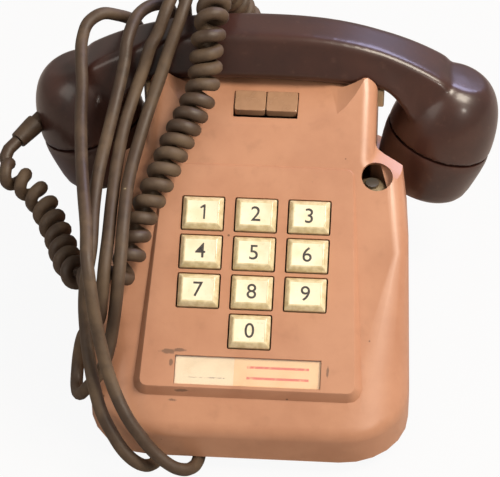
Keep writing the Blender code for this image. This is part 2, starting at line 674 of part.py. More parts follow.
# Keys, their frame and the contact board under them
frame = bodies(block(-FRAME_HALF, FRAME_HALF, FRAME_LOW, FRAME_TOP, -FRAME_BOTTOM, -FRAME_DEPTH, FACE))
combine(frame, key_windows(-FRAME_BOTTOM - GAP, GAP, 1), "DIFFERENCE")
finish(frame, "key_frame", INNER_LOOK)
key_board = block(-FRAME_HALF, FRAME_HALF, FRAME_LOW, FRAME_TOP,
                  -BOARD_BOTTOM, -FRAME_BOTTOM - GAP, FACE)
finish(bodies(key_board), "key_board", BOARD_LOOK)
for digit, middle in KEYS.items():
    skirt = rounded(KEY_WIDTH / 2, KEY_DEPTH / 2, KEY_ROUND)
    crown = rounded(KEY_TOP_WIDTH / 2, KEY_TOP_DEPTH / 2, KEY_ROUND)
    rings = [[(x, u, -KEY_SKIRT) for x, u in skirt], [(x, u, KEY_RIM) for x, u in skirt],
             [(x, u, KEY_RISE) for x, u in crown]]
    place = FACE @ Matrix.Translation((*middle, 0))
    finish(bodies(loft(rings, place)), "key_" + digit, KEY_LOOK, place)

# Label card under its clear window
card_in = GAP
card_top = -WINDOW_SUNK - WINDOW_THICK - GAP
label = (-LABEL_HALF + card_in, LABEL_HALF - card_in,
         LABEL_U - LABEL_DEPTH / 2 + card_in, LABEL_U + LABEL_DEPTH / 2 - card_in)
finish(bodies(block(*label, card_top - CARD_THICK, card_top, FACE)), "label_card", CARD_LOOK)
window = block(*label, -WINDOW_SUNK - WINDOW_THICK, -WINDOW_SUNK, FACE)
finish(bodies(window), "label_window", CLEAR_LOOK)

# Press tabs
for side, sign in (("left", -1), ("right", 1)):
    tab_x = TAB_X + sign * (TAB_WIDTH + TAB_GAP) / 2
    place = LIP @ Matrix.Translation((tab_x, TAB_START + TAB_DEPTH / 2, 0))
    outline = rounded(TAB_WIDTH / 2, TAB_DEPTH / 2, TAB_RISE, 2)
    tab = prism(outline, TAB_RISE - TAB_THICK, TAB_RISE, place)
    finish(bodies(tab), "press_tab_" + side, CLEAR_LOOK, place)

# Hook switch: two clear plungers, the lever they rest on, its bracket and contacts
LEVER_Z = PLUNGER_TOP - PLUNGER_LENGTH - GAP
PIVOT = Vector((0, PLUNGER_Y + LEVER_ARM, LEVER_Z - LEVER_THICK / 2))
for side, sign in (("left", -1), ("right", 1)):
    xs = [sign * PLUNGER_INNER, sign * PLUNGER_OUTER, sign * PLUNGER_BLADE]
    y0, y1 = PLUNGER_Y - PLUNGER_HALF, PLUNGER_Y + PLUNGER_HALF
    outline = [(xs[0], PLUNGER_TOP), (xs[1], PLUNGER_TOP), (xs[1], HEAD_Z), (xs[2], HEAD_Z),
               (xs[2], PLUNGER_TOP - PLUNGER_LENGTH), (xs[0], PLUNGER_TOP - PLUNGER_LENGTH)]
    plunger = loft([[(x, y, z) for x, z in outline] for y in (y0, y1)])
    place = Matrix.Translation(((xs[0] + xs[2]) / 2, PLUNGER_Y, PLUNGER_TOP))
    finish(bodies(plunger), "hook_plunger_" + side, CLEAR_LOOK, place)
arm_front, arm_rear = PLUNGER_Y - PLUNGER_HALF / 2, PIVOT.y - LEVER_WIDTH / 2
bar_rear = PIVOT.y + BRACKET_THICK
arm_in, arm_out = PLUNGER_INNER - LEVER_WIDTH / 2, PLUNGER_BLADE
outline = [(-arm_out, arm_front), (-arm_in, arm_front), (-arm_in, arm_rear), (arm_in, arm_rear),
           (arm_in, arm_front), (arm_out, arm_front), (arm_out, bar_rear), (-arm_out, bar_rear)]
lever = prism(outline, LEVER_Z - LEVER_THICK, LEVER_Z)
finish(bodies(lever), "hook_lever", STEEL_LOOK, Matrix.Translation(PIVOT))
bracket_top = LEVER_Z - LEVER_THICK - GAP
bracket_y = PIVOT.y - BRACKET_THICK / 2
bracket = block(-BRACKET_HALF, BRACKET_HALF, bracket_y, PIVOT.y + BRACKET_THICK / 2,
                PLATE_TOP + GAP, bracket_top)
finish(bodies(bracket), "hook_bracket", STEEL_LOOK)
contact_top = bracket_top - CONTACT_DROP
contacts = block(-CONTACT_HALF, CONTACT_HALF, bracket_y - GAP - CONTACT_DEPTH, bracket_y - GAP,
                 contact_top - CONTACT_HEIGHT, contact_top)
finish(bodies(contacts), "hook_contacts", INNER_LOOK)

# Main circuit board on its posts, with its larger components
BOARD_Z = PLATE_TOP + POST_HEIGHT + GAP
board = block(-BOARD_HALF, BOARD_HALF, BOARD_FRONT, BOARD_REAR, BOARD_Z, BOARD_Z + BOARD_THICK)
finish(bodies(board), "main_board", BOARD_LOOK)
TOP_Z = BOARD_Z + BOARD_THICK + GAP
board_mid = BOARD_FRONT + BOARD_LENGTH / 2
can_z = TOP_Z + CAPACITOR_RADIUS
can_x = -BOARD_HALF / 2
can = rod(CAPACITOR_RADIUS, (can_x - CAPACITOR_LENGTH / 2, board_mid, can_z),
          (can_x + CAPACITOR_LENGTH / 2, board_mid, can_z), 16)
finish(bodies(can), "capacitor", STEEL_LOOK)
coil_x = BOARD_HALF / 2
coil = block(coil_x - COIL_WIDTH / 2, coil_x + COIL_WIDTH / 2,
             board_mid - COIL_DEPTH / 2, board_mid + COIL_DEPTH / 2, TOP_Z, TOP_Z + COIL_HEIGHT)
finish(bodies(coil), "induction_coil", COPPER_LOOK)
terminal_y = BOARD_REAR - TERMINAL_DEPTH
terminals = block(-TERMINAL_WIDTH / 2, TERMINAL_WIDTH / 2, terminal_y - TERMINAL_DEPTH / 2,
                  terminal_y + TERMINAL_DEPTH / 2, TOP_Z, TOP_Z + TERMINAL_HEIGHT)
finish(bodies(terminals), "terminal_block", INNER_LOOK)

# Ringer: a sheet frame that stands on the base, a gong on its screw, the spool and the clapper
GONG_SETBACK = SHOULDER_SETBACK - GONG_AHEAD
GONG_Y = FRONT_Y + GONG_SETBACK
GONG_TOP_Z = SLOPE_LOW.z + (GONG_Y - SLOPE_LOW.y) * tan(SLOPE) - GONG_DROP
CLAPPER_BALL_Z = GONG_TOP_Z - CLAPPER_BALL_DROP
GONG_X = plan_half(GONG_Y, GONG_TOP_Z, CASE_WALL) - GONG_SIDE - GONG_RADIUS
DECK_TOP = GONG_TOP_Z - GONG_HEIGHT - GONG_LIFT
DECK_LOW = DECK_TOP - SHEET
y0, y1 = GONG_Y - RINGER_HALF_DEPTH, GONG_Y + RINGER_HALF_DEPTH
CLAPPER_X = GONG_X - GONG_RADIUS - GONG_AIR - CLAPPER_BALL
PIN_Z = DECK_LOW - CLAPPER_DROP
DECK_RIGHT = GONG_X + GONG_RADIUS / 2
DECK_LEFT = CLAPPER_X - CLAPPER_PIN - CLAPPER_AIR - SPOOL_LENGTH - GAP - SHEET
leg_left, leg_right, leg_low = DECK_LEFT + SHEET, DECK_RIGHT - SHEET, PLATE_TOP + GAP
arch = [(DECK_LEFT, leg_low), (leg_left, leg_low), (leg_left, DECK_LOW), (leg_right, DECK_LOW),
        (leg_right, leg_low), (DECK_RIGHT, leg_low), (DECK_RIGHT, DECK_TOP), (DECK_LEFT, DECK_TOP)]
ringer = bodies(loft([[(x, y, z) for x, z in arch] for y in (y0, y1)]))
lug = 3 * CLAPPER_PIN
for y in (y0 + GAP, y1 - GAP - SHEET):
    ear = block(CLAPPER_X - lug, CLAPPER_X + lug, y, y + SHEET, PIN_Z - lug, DECK_LOW + SHEET / 2)
    combine(ringer, bodies(ear), "UNION")
pin_bore = rod(CLAPPER_PIN + GAP, (CLAPPER_X, y0 - SHEET, PIN_Z),
               (CLAPPER_X, y1 + SHEET, PIN_Z))
combine(ringer, bodies(pin_bore), "DIFFERENCE")
slot_half = CLAPPER_ROD + GONG_AIR
rod_slot = block(CLAPPER_X - slot_half, CLAPPER_X + slot_half,
                 GONG_Y - slot_half, GONG_Y + slot_half, DECK_LOW - SHEET, DECK_TOP + SHEET)
screw_bore = rod(GONG_SCREW + GAP, (GONG_X, GONG_Y, DECK_LOW - SHEET),
                 (GONG_X, GONG_Y, DECK_TOP + SHEET), 10)
combine(ringer, bodies(rod_slot, screw_bore), "DIFFERENCE")
finish(ringer, "ringer_frame", STEEL_LOOK)
bowl = [(GONG_SCREW + GAP, GONG_TOP_Z)]
bowl += [(out * GONG_RADIUS, GONG_TOP_Z - deep * GONG_HEIGHT) for out, deep in GONG_BOWL]
shell = [(radius - GONG_WALL, z - GONG_WALL) for radius, z in bowl[1:-1]]
bowl += [(bowl[-1][0] - GONG_WALL, bowl[-1][1])] + shell[::-1]
bowl += [(GONG_SCREW + GAP, GONG_TOP_Z - GONG_WALL)]
gong_place = Matrix.Translation((GONG_X, GONG_Y, 0))
finish(bodies(turned(bowl, 24, gong_place, ring=True)), "gong", GONG_LOOK)
collar_top = GONG_TOP_Z - GONG_WALL - GAP
screw = [(0, DECK_LOW), (GONG_SCREW, DECK_LOW), (GONG_SCREW, DECK_TOP + GAP),
         (GONG_SCREW_HEAD, DECK_TOP + GAP), (GONG_SCREW_HEAD, collar_top), (GONG_SCREW, collar_top),
         (GONG_SCREW, GONG_TOP_Z + GAP), (GONG_SCREW_HEAD, GONG_TOP_Z + GAP),
         (GONG_SCREW_HEAD, GONG_TOP_Z + GONG_SCREW), (0, GONG_TOP_Z + GONG_SCREW)]
finish(bodies(turned(screw, 12, gong_place)), "gong_screw", STEEL_LOOK)
tail_z = PIN_Z - CLAPPER_TAIL
spool_x = DECK_LEFT + SHEET + GAP
spool_profile = [(SPOOL_FLANGE, 0), (SPOOL_FLANGE, SHEET), (RINGER_SPOOL, SHEET),
                 (RINGER_SPOOL, SPOOL_LENGTH - SHEET), (SPOOL_FLANGE, SPOOL_LENGTH - SHEET),
                 (SPOOL_FLANGE, SPOOL_LENGTH)]
spool_place = Matrix.Translation((spool_x, GONG_Y, tail_z)) @ Matrix.Rotation(pi / 2, 4, "Y")
finish(bodies(turned(spool_profile, 20, spool_place)), "ringer_spool", COPPER_LOOK)
tail_half = 2 * CLAPPER_PIN
tail = block(CLAPPER_X - CLAPPER_PIN, CLAPPER_X + CLAPPER_PIN, GONG_Y - tail_half, GONG_Y + tail_half,
             tail_z - CLAPPER_PIN, PIN_Z + 2 * CLAPPER_PIN)
clapper = bodies(tail)
pin = rod(CLAPPER_PIN, (CLAPPER_X, y0, PIN_Z), (CLAPPER_X, y1, PIN_Z), 10)
combine(clapper, bodies(pin), "UNION")
wire = rod(CLAPPER_ROD, (CLAPPER_X, GONG_Y, PIN_Z), (CLAPPER_X, GONG_Y, CLAPPER_BALL_Z), 8)
combine(clapper, bodies(wire), "UNION")
ball = []
for step in range(5):
    angle = pi * step / 4
    ball.append((CLAPPER_BALL * sin(angle), CLAPPER_BALL_Z - CLAPPER_BALL * cos(angle)))
combine(clapper, bodies(turned(ball, 8, Matrix.Translation((CLAPPER_X, GONG_Y, 0)))), "UNION")
finish(clapper, "clapper", STEEL_LOOK, Matrix.Translation((CLAPPER_X, GONG_Y, PIN_Z)))


# Handset: a moulded handle with a bulb at each end, screwed caps and their capsules
def bulb_place(sign):
    """Frame of one bulb: origin in the middle of the seam, Z up along its axis."""
    turn = Matrix.Rotation(sign * BULB_TURN, 4, "Y")
    return HANDSET @ Matrix.Translation((sign * BULB_X, 0, -BULB_DROP)) @ turn


def handle_ring(x):
    """Cross-section of the handle at a distance along it, with round edges."""
    out = abs(x) / (BULB_X + BULB_RADIUS / 3)
    top = HANDLE_HEIGHT - HANDLE_ARCH * out ** HANDLE_ARCH_POWER
    low = max(under(x), -BULB_DROP + SPIGOT + 2 * BULB_WALL)
    swell = max(0.0, (abs(x) - NECK_HALF) / (BULB_X - NECK_HALF))
    half_low = HANDLE_HALF_LOW + SWELL_LOW * (BULB_RADIUS - HANDLE_HALF_LOW) * swell
    tuck = HANDLE_TUCK * max(0.0, (abs(x) - BULB_X) / (BULB_RADIUS / 3)) ** 2
    top = top - tuck
    half_top = HANDLE_HALF_TOP + SWELL_TOP * (BULB_RADIUS - HANDLE_HALF_TOP) * swell - tuck
    radius = HANDLE_ROUND
    corners = [(half_low, low), (half_top, top), (-half_top, top), (-half_low, low)]
    ring = []
    for quarter, (y, z) in enumerate(corners):
        sy, sz = (1 if y > 0 else -1), (1 if z == top else -1)
        for step in range(4):
            angle = pi / 2 * (quarter - 1 + step / 3)
            ring.append((x, y + radius * (cos(angle) - sy), z + radius * (sin(angle) - sz)))
    return ring


HANDLE_END = BULB_X + BULB_RADIUS / 3
stations = [CRADLE_HALF * step / 4 for step in range(5)]
stations += [CRADLE_HALF + (HANDLE_END - CRADLE_HALF) * step / 4 for step in range(1, 5)]
stations = [-x for x in reversed(stations[1:])] + stations
handset_body = bodies(loft([handle_ring(x) for x in stations], HANDSET))
for sign in (-1, 1):
    place = bulb_place(sign)
    dome = [(BULB_RADIUS, 0)]
    for step in range(1, 7):
        angle = pi / 2 * step / 7
        dome.append((BULB_RADIUS * cos(angle) ** DOME_FULL, BULB_DOME * sin(angle) ** DOME_STEEP))
    dome.append((0, BULB_DOME))
    combine(handset_body, bodies(turned(dome, 24, place)), "UNION")
THREAD = BULB_RADIUS - BULB_WALL
for sign in (-1, 1):
    place = bulb_place(sign)
    bore = [(THREAD, -BULB_WALL), (THREAD, SPIGOT + GAP), (THREAD - CAP_WALL, SPIGOT + CAP_WALL)]
    combine(handset_body, bodies(turned(bore, 24, place)), "DIFFERENCE")

# Cord gland in the mouthpiece bulb, pointing out to the front and left
bulb_left = bulb_place(-1)
gland_spot = Vector((cos(GLAND_TURN), sin(GLAND_TURN), GLAND_HEIGHT / BULB_RADIUS)) * BULB_RADIUS
gland_out = Vector((cos(GLAND_AIM), sin(GLAND_AIM), -GLAND_FALL))
gland_mouth = bulb_left @ gland_spot
gland_dir = (bulb_left.to_3x3() @ gland_out).normalized()
gland_seat = GLAND_PLUG / 8
gland_bore = rod(GLAND_PLUG + GAP, gland_mouth - 2 * GLAND_PLUG * gland_dir,
                 gland_mouth + GLAND_PLUG * gland_dir)
combine(handset_body, bodies(gland_bore), "DIFFERENCE")
seat_start = gland_mouth + (gland_seat - GAP) * gland_dir
spot_face = rod(GLAND_RADIUS + GAP, seat_start, gland_mouth + GLAND_LENGTH * gland_dir, 16)
combine(handset_body, bodies(spot_face), "DIFFERENCE")
finish(handset_body, "handset_body", DARK_LOOK, HANDSET)
gland_turn = gland_dir.to_track_quat("Z", "Y").to_matrix().to_4x4()
gland_place = Matrix.Translation(gland_mouth) @ gland_turn
sleeve_end = CORD_SLEEVE * CORD_RADIUS
gland = [(0, -GLAND_PLUG), (GLAND_PLUG, -GLAND_PLUG), (GLAND_PLUG, gland_seat), (GLAND_RADIUS, gland_seat),
         (GLAND_RADIUS, gland_seat + GLAND_LENGTH / 5), (sleeve_end, GLAND_LENGTH), (0, GLAND_LENGTH)]
finish(bodies(turned(gland, 12, gland_place)), "handset_gland", CORD_LOOK)

CAPS = (("mouthpiece_cap", "transmitter_capsule", -1), ("earpiece_cap", "receiver_capsule", 1))
for name, capsule_name, sign in CAPS:
    place = bulb_place(sign)
    collar = THREAD - GAP
    inside = collar - CAP_WALL
    face, dish, eye = CAP_FACE * BULB_RADIUS, -CAP_DISH * CAP_DEPTH, -CAP_EYE * CAP_DEPTH
    seat = -CAPSULE_SEAT * CAP_DEPTH
    outer = [(0, eye), (face, dish)]
    outer += [(out * BULB_RADIUS, -deep * CAP_DEPTH) for out, deep in CAP_ROUND]
    outer += [(BULB_RADIUS, -CAP_SEAM), (collar, -CAP_SEAM), (collar, SPIGOT - GAP)]
    inner = [(inside, SPIGOT - GAP), (inside, seat),
             (CAP_INSIDE * BULB_RADIUS - CAP_WALL / 2, dish + CAP_WALL),
             (face, dish + CAP_WALL), (0, eye + CAP_WALL)]
    cap = bodies(turned(outer + inner, 24, place))
    holes = [(0.0, 0.0)]
    for step in range(6):
        holes.append((SOUND_RING * cos(pi * step / 3), SOUND_RING * sin(pi * step / 3)))
    bore = [(SOUND_HOLE, -CAP_DEPTH - CAP_WALL), (SOUND_HOLE, -CAP_DEPTH / 2)]
    bores = [turned(bore, 6, place @ Matrix.Translation((x, y, 0))) for x, y in holes]
    combine(cap, bodies(*bores), "DIFFERENCE")
    finish(cap, name, DARK_LOOK, place)
    capsule = [(inside - GAP, seat), (inside - GAP, seat + CAPSULE_THICK)]
    finish(bodies(turned(capsule, 24, place)), capsule_name, STEEL_LOOK, place)

# Grommets that hold the two cords in the rear wall
inside_end = -CASE_WALL - GROMMET_RADIUS / 2
sleeve = [(0, inside_end), (GROMMET_RADIUS, inside_end), (GROMMET_RADIUS, GAP), (GROMMET_FLANGE, GAP),
          (GROMMET_FLANGE, GROMMET_LENGTH / 6), (GROMMET_RADIUS, GROMMET_LENGTH / 6),
          (sleeve_end, GROMMET_LENGTH), (0, GROMMET_LENGTH)]
for held, x in GROMMETS.items():
    place = Matrix.Translation((x, REAR_Y, GROMMET_Z)) @ Matrix.Rotation(-pi / 2, 4, "X")
    finish(bodies(turned(sleeve, 12, place)), held + "_cord_grommet", CORD_LOOK)


# Cords: each route is a list of places in millimetres, where the cord lies on the phone
MM = 0.001
HANDSET_ROUTE = [
    (-126.8, 32, 74.4), (-125, 26.5, 72.8), (-119.5, 22, 71.6), (-112.5, 17, 70.2), (-106, 9, 68.3),
    (-100, -2, 66.5), (-94.5, -14, 65.5), (-90, -27, 66.5), (-84.5, -38.5, 68.5),
    (-77, -45.5, 70.5), (-68.5, -47.2, 72), (-61.3, -42.5, 74.8), (-57.3, -32.5, 79.7),
    (-55, -22, 86.2), (-50.3, -12.5, 93), (-44.5, 0, 101.4), (-38.5, 14, 109.6), (-32.4, 26, 117.2),
    (-29.4, 33, 121.3), (-28.1, 39, 125.6), (-27.5, 44.3, 131), (-27.2, 49.7, 137.8),
    (-26, 57, 144), (-25.3, 68, 147), (-24.5, 80, 146), (-23.5, 91, 141), (-21.5, 101, 131),
    (-17, 107.5, 116), (-8, 110.5, 97), (3, 115, 79), (14, 122, 63), (23.5, 131, 50),
    (29, 136.5, 38), (30, 133, 26), (30, 123.5, 21.1),
]
# The line cord goes up the rear wall and over the handset, turns back beside the case, and is then
# wound twice round the phone: down the rear, under the base, up the front and over the handset.
LINE_ROUTE = [
    (-12.2, 124.2, 24.4), (-13, 128.2, 34), (-15.5, 125.5, 51), (-20, 116, 76), (-27, 108, 103),
    (-32.5, 104.5, 121), (-36, 99, 136.5), (-37.3, 89, 146), (-38, 78, 148), (-40.5, 67, 143.5),
    (-44, 58, 136), (-47, 51, 129), (-49.5, 43.5, 123), (-53.5, 31.5, 115), (-57.5, 14, 107.5),
    (-60.6, -8, 101.5), (-61, -28, 96.5), (-61, -44, 89.5), (-61.5, -54, 82), (-62.6, -60.5, 70.5),
    (-64.2, -64, 58.5), (-66, -69, 48.8), (-69.5, -76.5, 41), (-75.5, -80.5, 34.5),
    (-79.8, -78, 27), (-82.3, -70.5, 23.5), (-82.8, -62.5, 26.5), (-82, -57.5, 34.5),
    (-79.8, -56.5, 44.5), (-75, -58.5, 53.5), (-70.8, -61.5, 61.5), (-69.2, -60.5, 73),
    (-68.4, -52, 84.5), (-67.8, -36, 91.5), (-67.8, -18, 96.5), (-67.3, 4, 102), (-65.3, 24, 109),
    (-61.5, 40, 116), (-58, 50, 123), (-55.3, 55.8, 131), (-52, 60.8, 135.5), (-48.5, 68, 143.5),
    (-45.3, 78, 148), (-44.6, 89, 145.5), (-44, 99, 137), (-43, 104, 122), (-42, 103, 100),
    (-40.5, 102, 70), (-38.2, 104, 42), (-36.6, 107.6, 27), (-35.8, 109, 16.5), (-35.3, 105.4, 7.8),
    (-35, 97, 4), (-35.4, 86, 3.9), (-36, 70, 3.9), (-37.5, 20, 3.9), (-39, -30, 3.9),
    (-40.5, -80, 3.9), (-41, -91, 3.9), (-42.8, -99.8, 5), (-46.8, -105.3, 8.8),
    (-51.6, -106.8, 13.6), (-57, -105, 19), (-63.5, -99.5, 27.5), (-67.7, -94.5, 34),
    (-71, -87.5, 41), (-74, -78, 49), (-76.2, -69, 58.5), (-77.3, -61, 70), (-76.8, -54.5, 80.5),
    (-75.5, -42, 88), (-76.2, -20, 94.5), (-75.6, -3, 100.5), (-70.8, 30, 114), (-67.7, 51.5, 124),
    (-66.9, 60, 130.6), (-63.8, 74, 134), (-59.3, 84, 132.5), (-53.8, 93, 127.5), (-51, 103, 118),
    (-48.5, 108.5, 104), (-43, 110.5, 80), (-35, 111, 50), (-29.2, 111, 28), (-27, 109.8, 16.5),
    (-26.2, 105.6, 7.7), (-26, 97, 4), (-26, 86, 3.9), (-26, 70, 3.9), (-25.5, 20, 3.9),
    (-24.5, -30, 3.9), (-22.8, -80, 3.9), (-22, -91, 3.9), (-23.2, -99.6, 4.8),
    (-26.8, -105.6, 7.6), (-31.6, -107.9, 10.8), (-36.6, -107.9, 14.8), (-42.2, -106.5, 20),
    (-48.7, -104, 28.5), (-55, -100, 37), (-60.7, -93, 45.5), (-65.2, -85.5, 54.5),
    (-68.4, -79, 64.5), (-71, -73, 75), (-73.4, -65, 86.5), (-75.7, -55, 95), (-77.3, -40, 99.5),
    (-80.8, -19, 102), (-84.3, 4, 104.5), (-87, 28, 109), (-88.2, 46, 114), (-89.6, 57, 119),
    (-90.5, 70, 122), (-88.3, 79, 125.5), (-82, 84.5, 127), (-74.5, 88, 123.5), (-68, 94.5, 115),
    (-64.5, 99, 102), (-62.5, 101.5, 80), (-62, 103, 50), (-62.5, 105.5, 25), (-64, 110, 10.5),
    (-67, 117, 4), (-72, 126, 3.6), (-80, 134, 3.6), (-90, 138, 3.6),
]


def smooth(route, count):
    """Points on a smooth curve through the route, count of them for each of its stretches."""
    ends = [2 * route[0] - route[1]] + route + [2 * route[-1] - route[-2]]
    points = []
    for a, b, c, d in zip(ends, ends[1:], ends[2:], ends[3:]):
        first, second, third = [sqrt((q - p).length) for p, q in ((a, b), (b, c), (c, d))]
        leave = second * ((b - a) / first - (c - a) / (first + second) + (c - b) / second)
        arrive = second * ((c - b) / second - (d - b) / (second + third) + (d - c) / third)
        points += interpolate_bezier(b, b + leave / 3, c - arrive / 3, c, count + 1)[:-1]
    return points + [route[-1]]


def curled(axis):
    """A helix about the axis, its pitch measured inside each bend, with straight ends."""
    total = sum((q - p).length for p, q in zip(axis, axis[1:]))
    straight = 2 * CURL_WIRE
    tangent = (axis[1] - axis[0]).normalized()
    side = tangent.orthogonal().normalized()
    points = [axis[0], axis[0] + straight * tangent]
    along, turn, made = 0.0, 0.0, 1
    for p, q in zip(axis, axis[1:]):
        heading = (q - p).normalized()
        bend = tangent.angle(heading)
        side = tangent.rotation_difference(heading) @ side
        side = (side - side.dot(heading) * heading).normalized()
        tangent = heading
        along += (q - p).length
        left = min(along, total - along) - 1.5 * straight
        if left < 0:
            continue
        inner = min(along - CURL_OPEN_RUN, total - CURL_OPEN_END - along)
        shut = min(max(inner / CURL_EASE, 0.0), 1.0)
        pitch = CURL_OPEN + (CURL_SHUT - CURL_OPEN) * shut
        turn += 2 * pi * max(0.0, (q - p).length - CURL_RADIUS * bend) / pitch
        if turn < made * 2 * pi / CURL_POINTS:
            continue
        grown = min(left / CURL_GROW, 1.0)
        radius = CURL_OPEN_RADIUS + (CURL_RADIUS - CURL_OPEN_RADIUS) * shut
        radius = radius * grown * grown * (3 - 2 * grown)
        points.append(q + radius * (cos(turn) * side + sin(turn) * tangent.cross(side)))
        made += 1
    return points + [axis[-1] - straight * tangent, axis[-1]]


def least_gap(points, radius):
    """The least clear distance between two stretches of one cord."""
    middles = [p.lerp(q, 0.5) for p, q in zip(points, points[1:])]
    ordered = [place for pair in zip(points, middles) for place in pair] + [points[-1]]
    along = [0.0]
    for p, q in zip(ordered, ordered[1:]):
        along.append(along[-1] + (q - p).length)
    tree = KDTree(len(ordered))
    for index, place in enumerate(ordered):
        tree.insert(place, index)
    tree.balance()
    least = 4 * radius
    for index, place in enumerate(ordered):
        for found, other, distance in tree.find_range(place, least):
            if along[other] - along[index] > 3 * pi * radius:
                least = min(least, distance)
    return least - 2 * radius


def cord(name, points, radius):
    """One unbroken tube along the points."""
    curve = bpy.data.curves.new(name, "CURVE")
    curve.dimensions = "3D"
    curve.bevel_depth = radius
    curve.bevel_resolution = 1
    curve.use_fill_caps = True
    line = curve.splines.new("POLY")
    line.points.add(len(points) - 1)
    for point, place in zip(line.points, points):
        point.co = (*place, 1.0)
    curve.materials.append(CORD_LOOK)
    made = bpy.data.objects.new(name, curve)
    bpy.context.scene.collection.objects.link(made)
    length = sum((q - p).length for p, q in zip(points, points[1:]))
    print(f"{name}: {length:.3f} m long, least gap to itself {1000 * least_gap(points, radius):.2f} mm")


def leaving(place, direction, run):
    """The straight end of a cord, from the face it meets."""
    return [place + GAP * direction, place + (GAP + run) * direction]


backwards = Vector((0, 1, 0))
handset_exit = Vector((HANDSET_GROMMET_X, REAR_Y + GROMMET_LENGTH, GROMMET_Z))
line_exit = Vector((LINE_GROMMET_X, REAR_Y + GROMMET_LENGTH, GROMMET_Z))
gland_exit = gland_mouth + GLAND_LENGTH * gland_dir
curl_end = leaving(handset_exit, backwards, 2 * CURL_WIRE)
curl_axis = leaving(gland_exit, gland_dir, 2 * CURL_WIRE) + [MM * Vector(place) for place in HANDSET_ROUTE]
cord("handset_cord", curled(smooth(curl_axis + curl_end[::-1], CURL_STEPS)), CURL_WIRE)
line_route = leaving(line_exit, backwards, 2 * CORD_RADIUS) + [MM * Vector(place) for place in LINE_ROUTE]
cord("line_cord", smooth(line_route, LINE_STEPS), CORD_RADIUS)

# Plug on the end of the line cord, lying on the table
plug_dir = (line_route[-1] - line_route[-2]).normalized()
line_end = line_route[-1]
plug_place = Matrix.Translation(line_end) @ plug_dir.to_track_quat("X", "Z").to_matrix().to_4x4()
floor = GAP - line_end.z
shell = block(PLUG_COLLAR, PLUG_LENGTH, -PLUG_HALF, PLUG_HALF, floor, floor + PLUG_HEIGHT, plug_place)
plug = bodies(shell)
collar = rod(CORD_RADIUS, line_end + GAP * plug_dir, line_end + 2 * PLUG_COLLAR * plug_dir, 8)
combine(plug, bodies(collar), "UNION")
tongue = block(PLUG_LENGTH - PLUG_TONGUE, PLUG_LENGTH + PLUG_COLLAR, -PLUG_HALF / 3, PLUG_HALF / 3,
               floor + PLUG_HEIGHT / 2, floor + PLUG_LATCH * PLUG_HEIGHT, plug_place)
combine(plug, bodies(tongue), "UNION")
finish(plug, "line_plug", CLEAR_LOOK)
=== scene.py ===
from math import cos, pi, radians, sin, sqrt
import bpy
from mathutils import Matrix, Vector
from mathutils.geometry import interpolate_bezier


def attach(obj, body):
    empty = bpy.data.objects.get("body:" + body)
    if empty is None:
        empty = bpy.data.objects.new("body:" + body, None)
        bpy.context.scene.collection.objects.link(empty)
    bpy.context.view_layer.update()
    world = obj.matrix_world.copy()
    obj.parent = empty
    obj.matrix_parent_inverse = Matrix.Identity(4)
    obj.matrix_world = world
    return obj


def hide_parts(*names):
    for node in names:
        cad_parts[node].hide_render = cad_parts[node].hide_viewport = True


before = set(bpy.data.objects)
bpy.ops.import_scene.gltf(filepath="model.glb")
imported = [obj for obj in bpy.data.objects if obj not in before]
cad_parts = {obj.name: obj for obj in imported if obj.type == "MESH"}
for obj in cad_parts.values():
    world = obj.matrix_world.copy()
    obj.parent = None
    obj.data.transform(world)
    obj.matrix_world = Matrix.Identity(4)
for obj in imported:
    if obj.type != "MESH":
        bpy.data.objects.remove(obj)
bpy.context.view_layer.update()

# Camera: it looks down on the keys from the front, a little from the right and from about 1.3 m,
# with a long lens.
CAMERA_SPOT = (0.069455, -0.959259, 0.977456)
CAMERA_TURN = (0.802824, 0.007533, 0.067066)
bpy.ops.object.select_all(action="DESELECT")
bpy.ops.object.camera_add(location=CAMERA_SPOT, rotation=CAMERA_TURN)
camera = bpy.context.object
camera.name = "front_camera"
camera.data.lens = 197.1
camera.data.shift_x = -0.0079
camera.data.shift_y = 0.0309
camera.data.clip_end = 20.0
bpy.context.scene.camera = camera


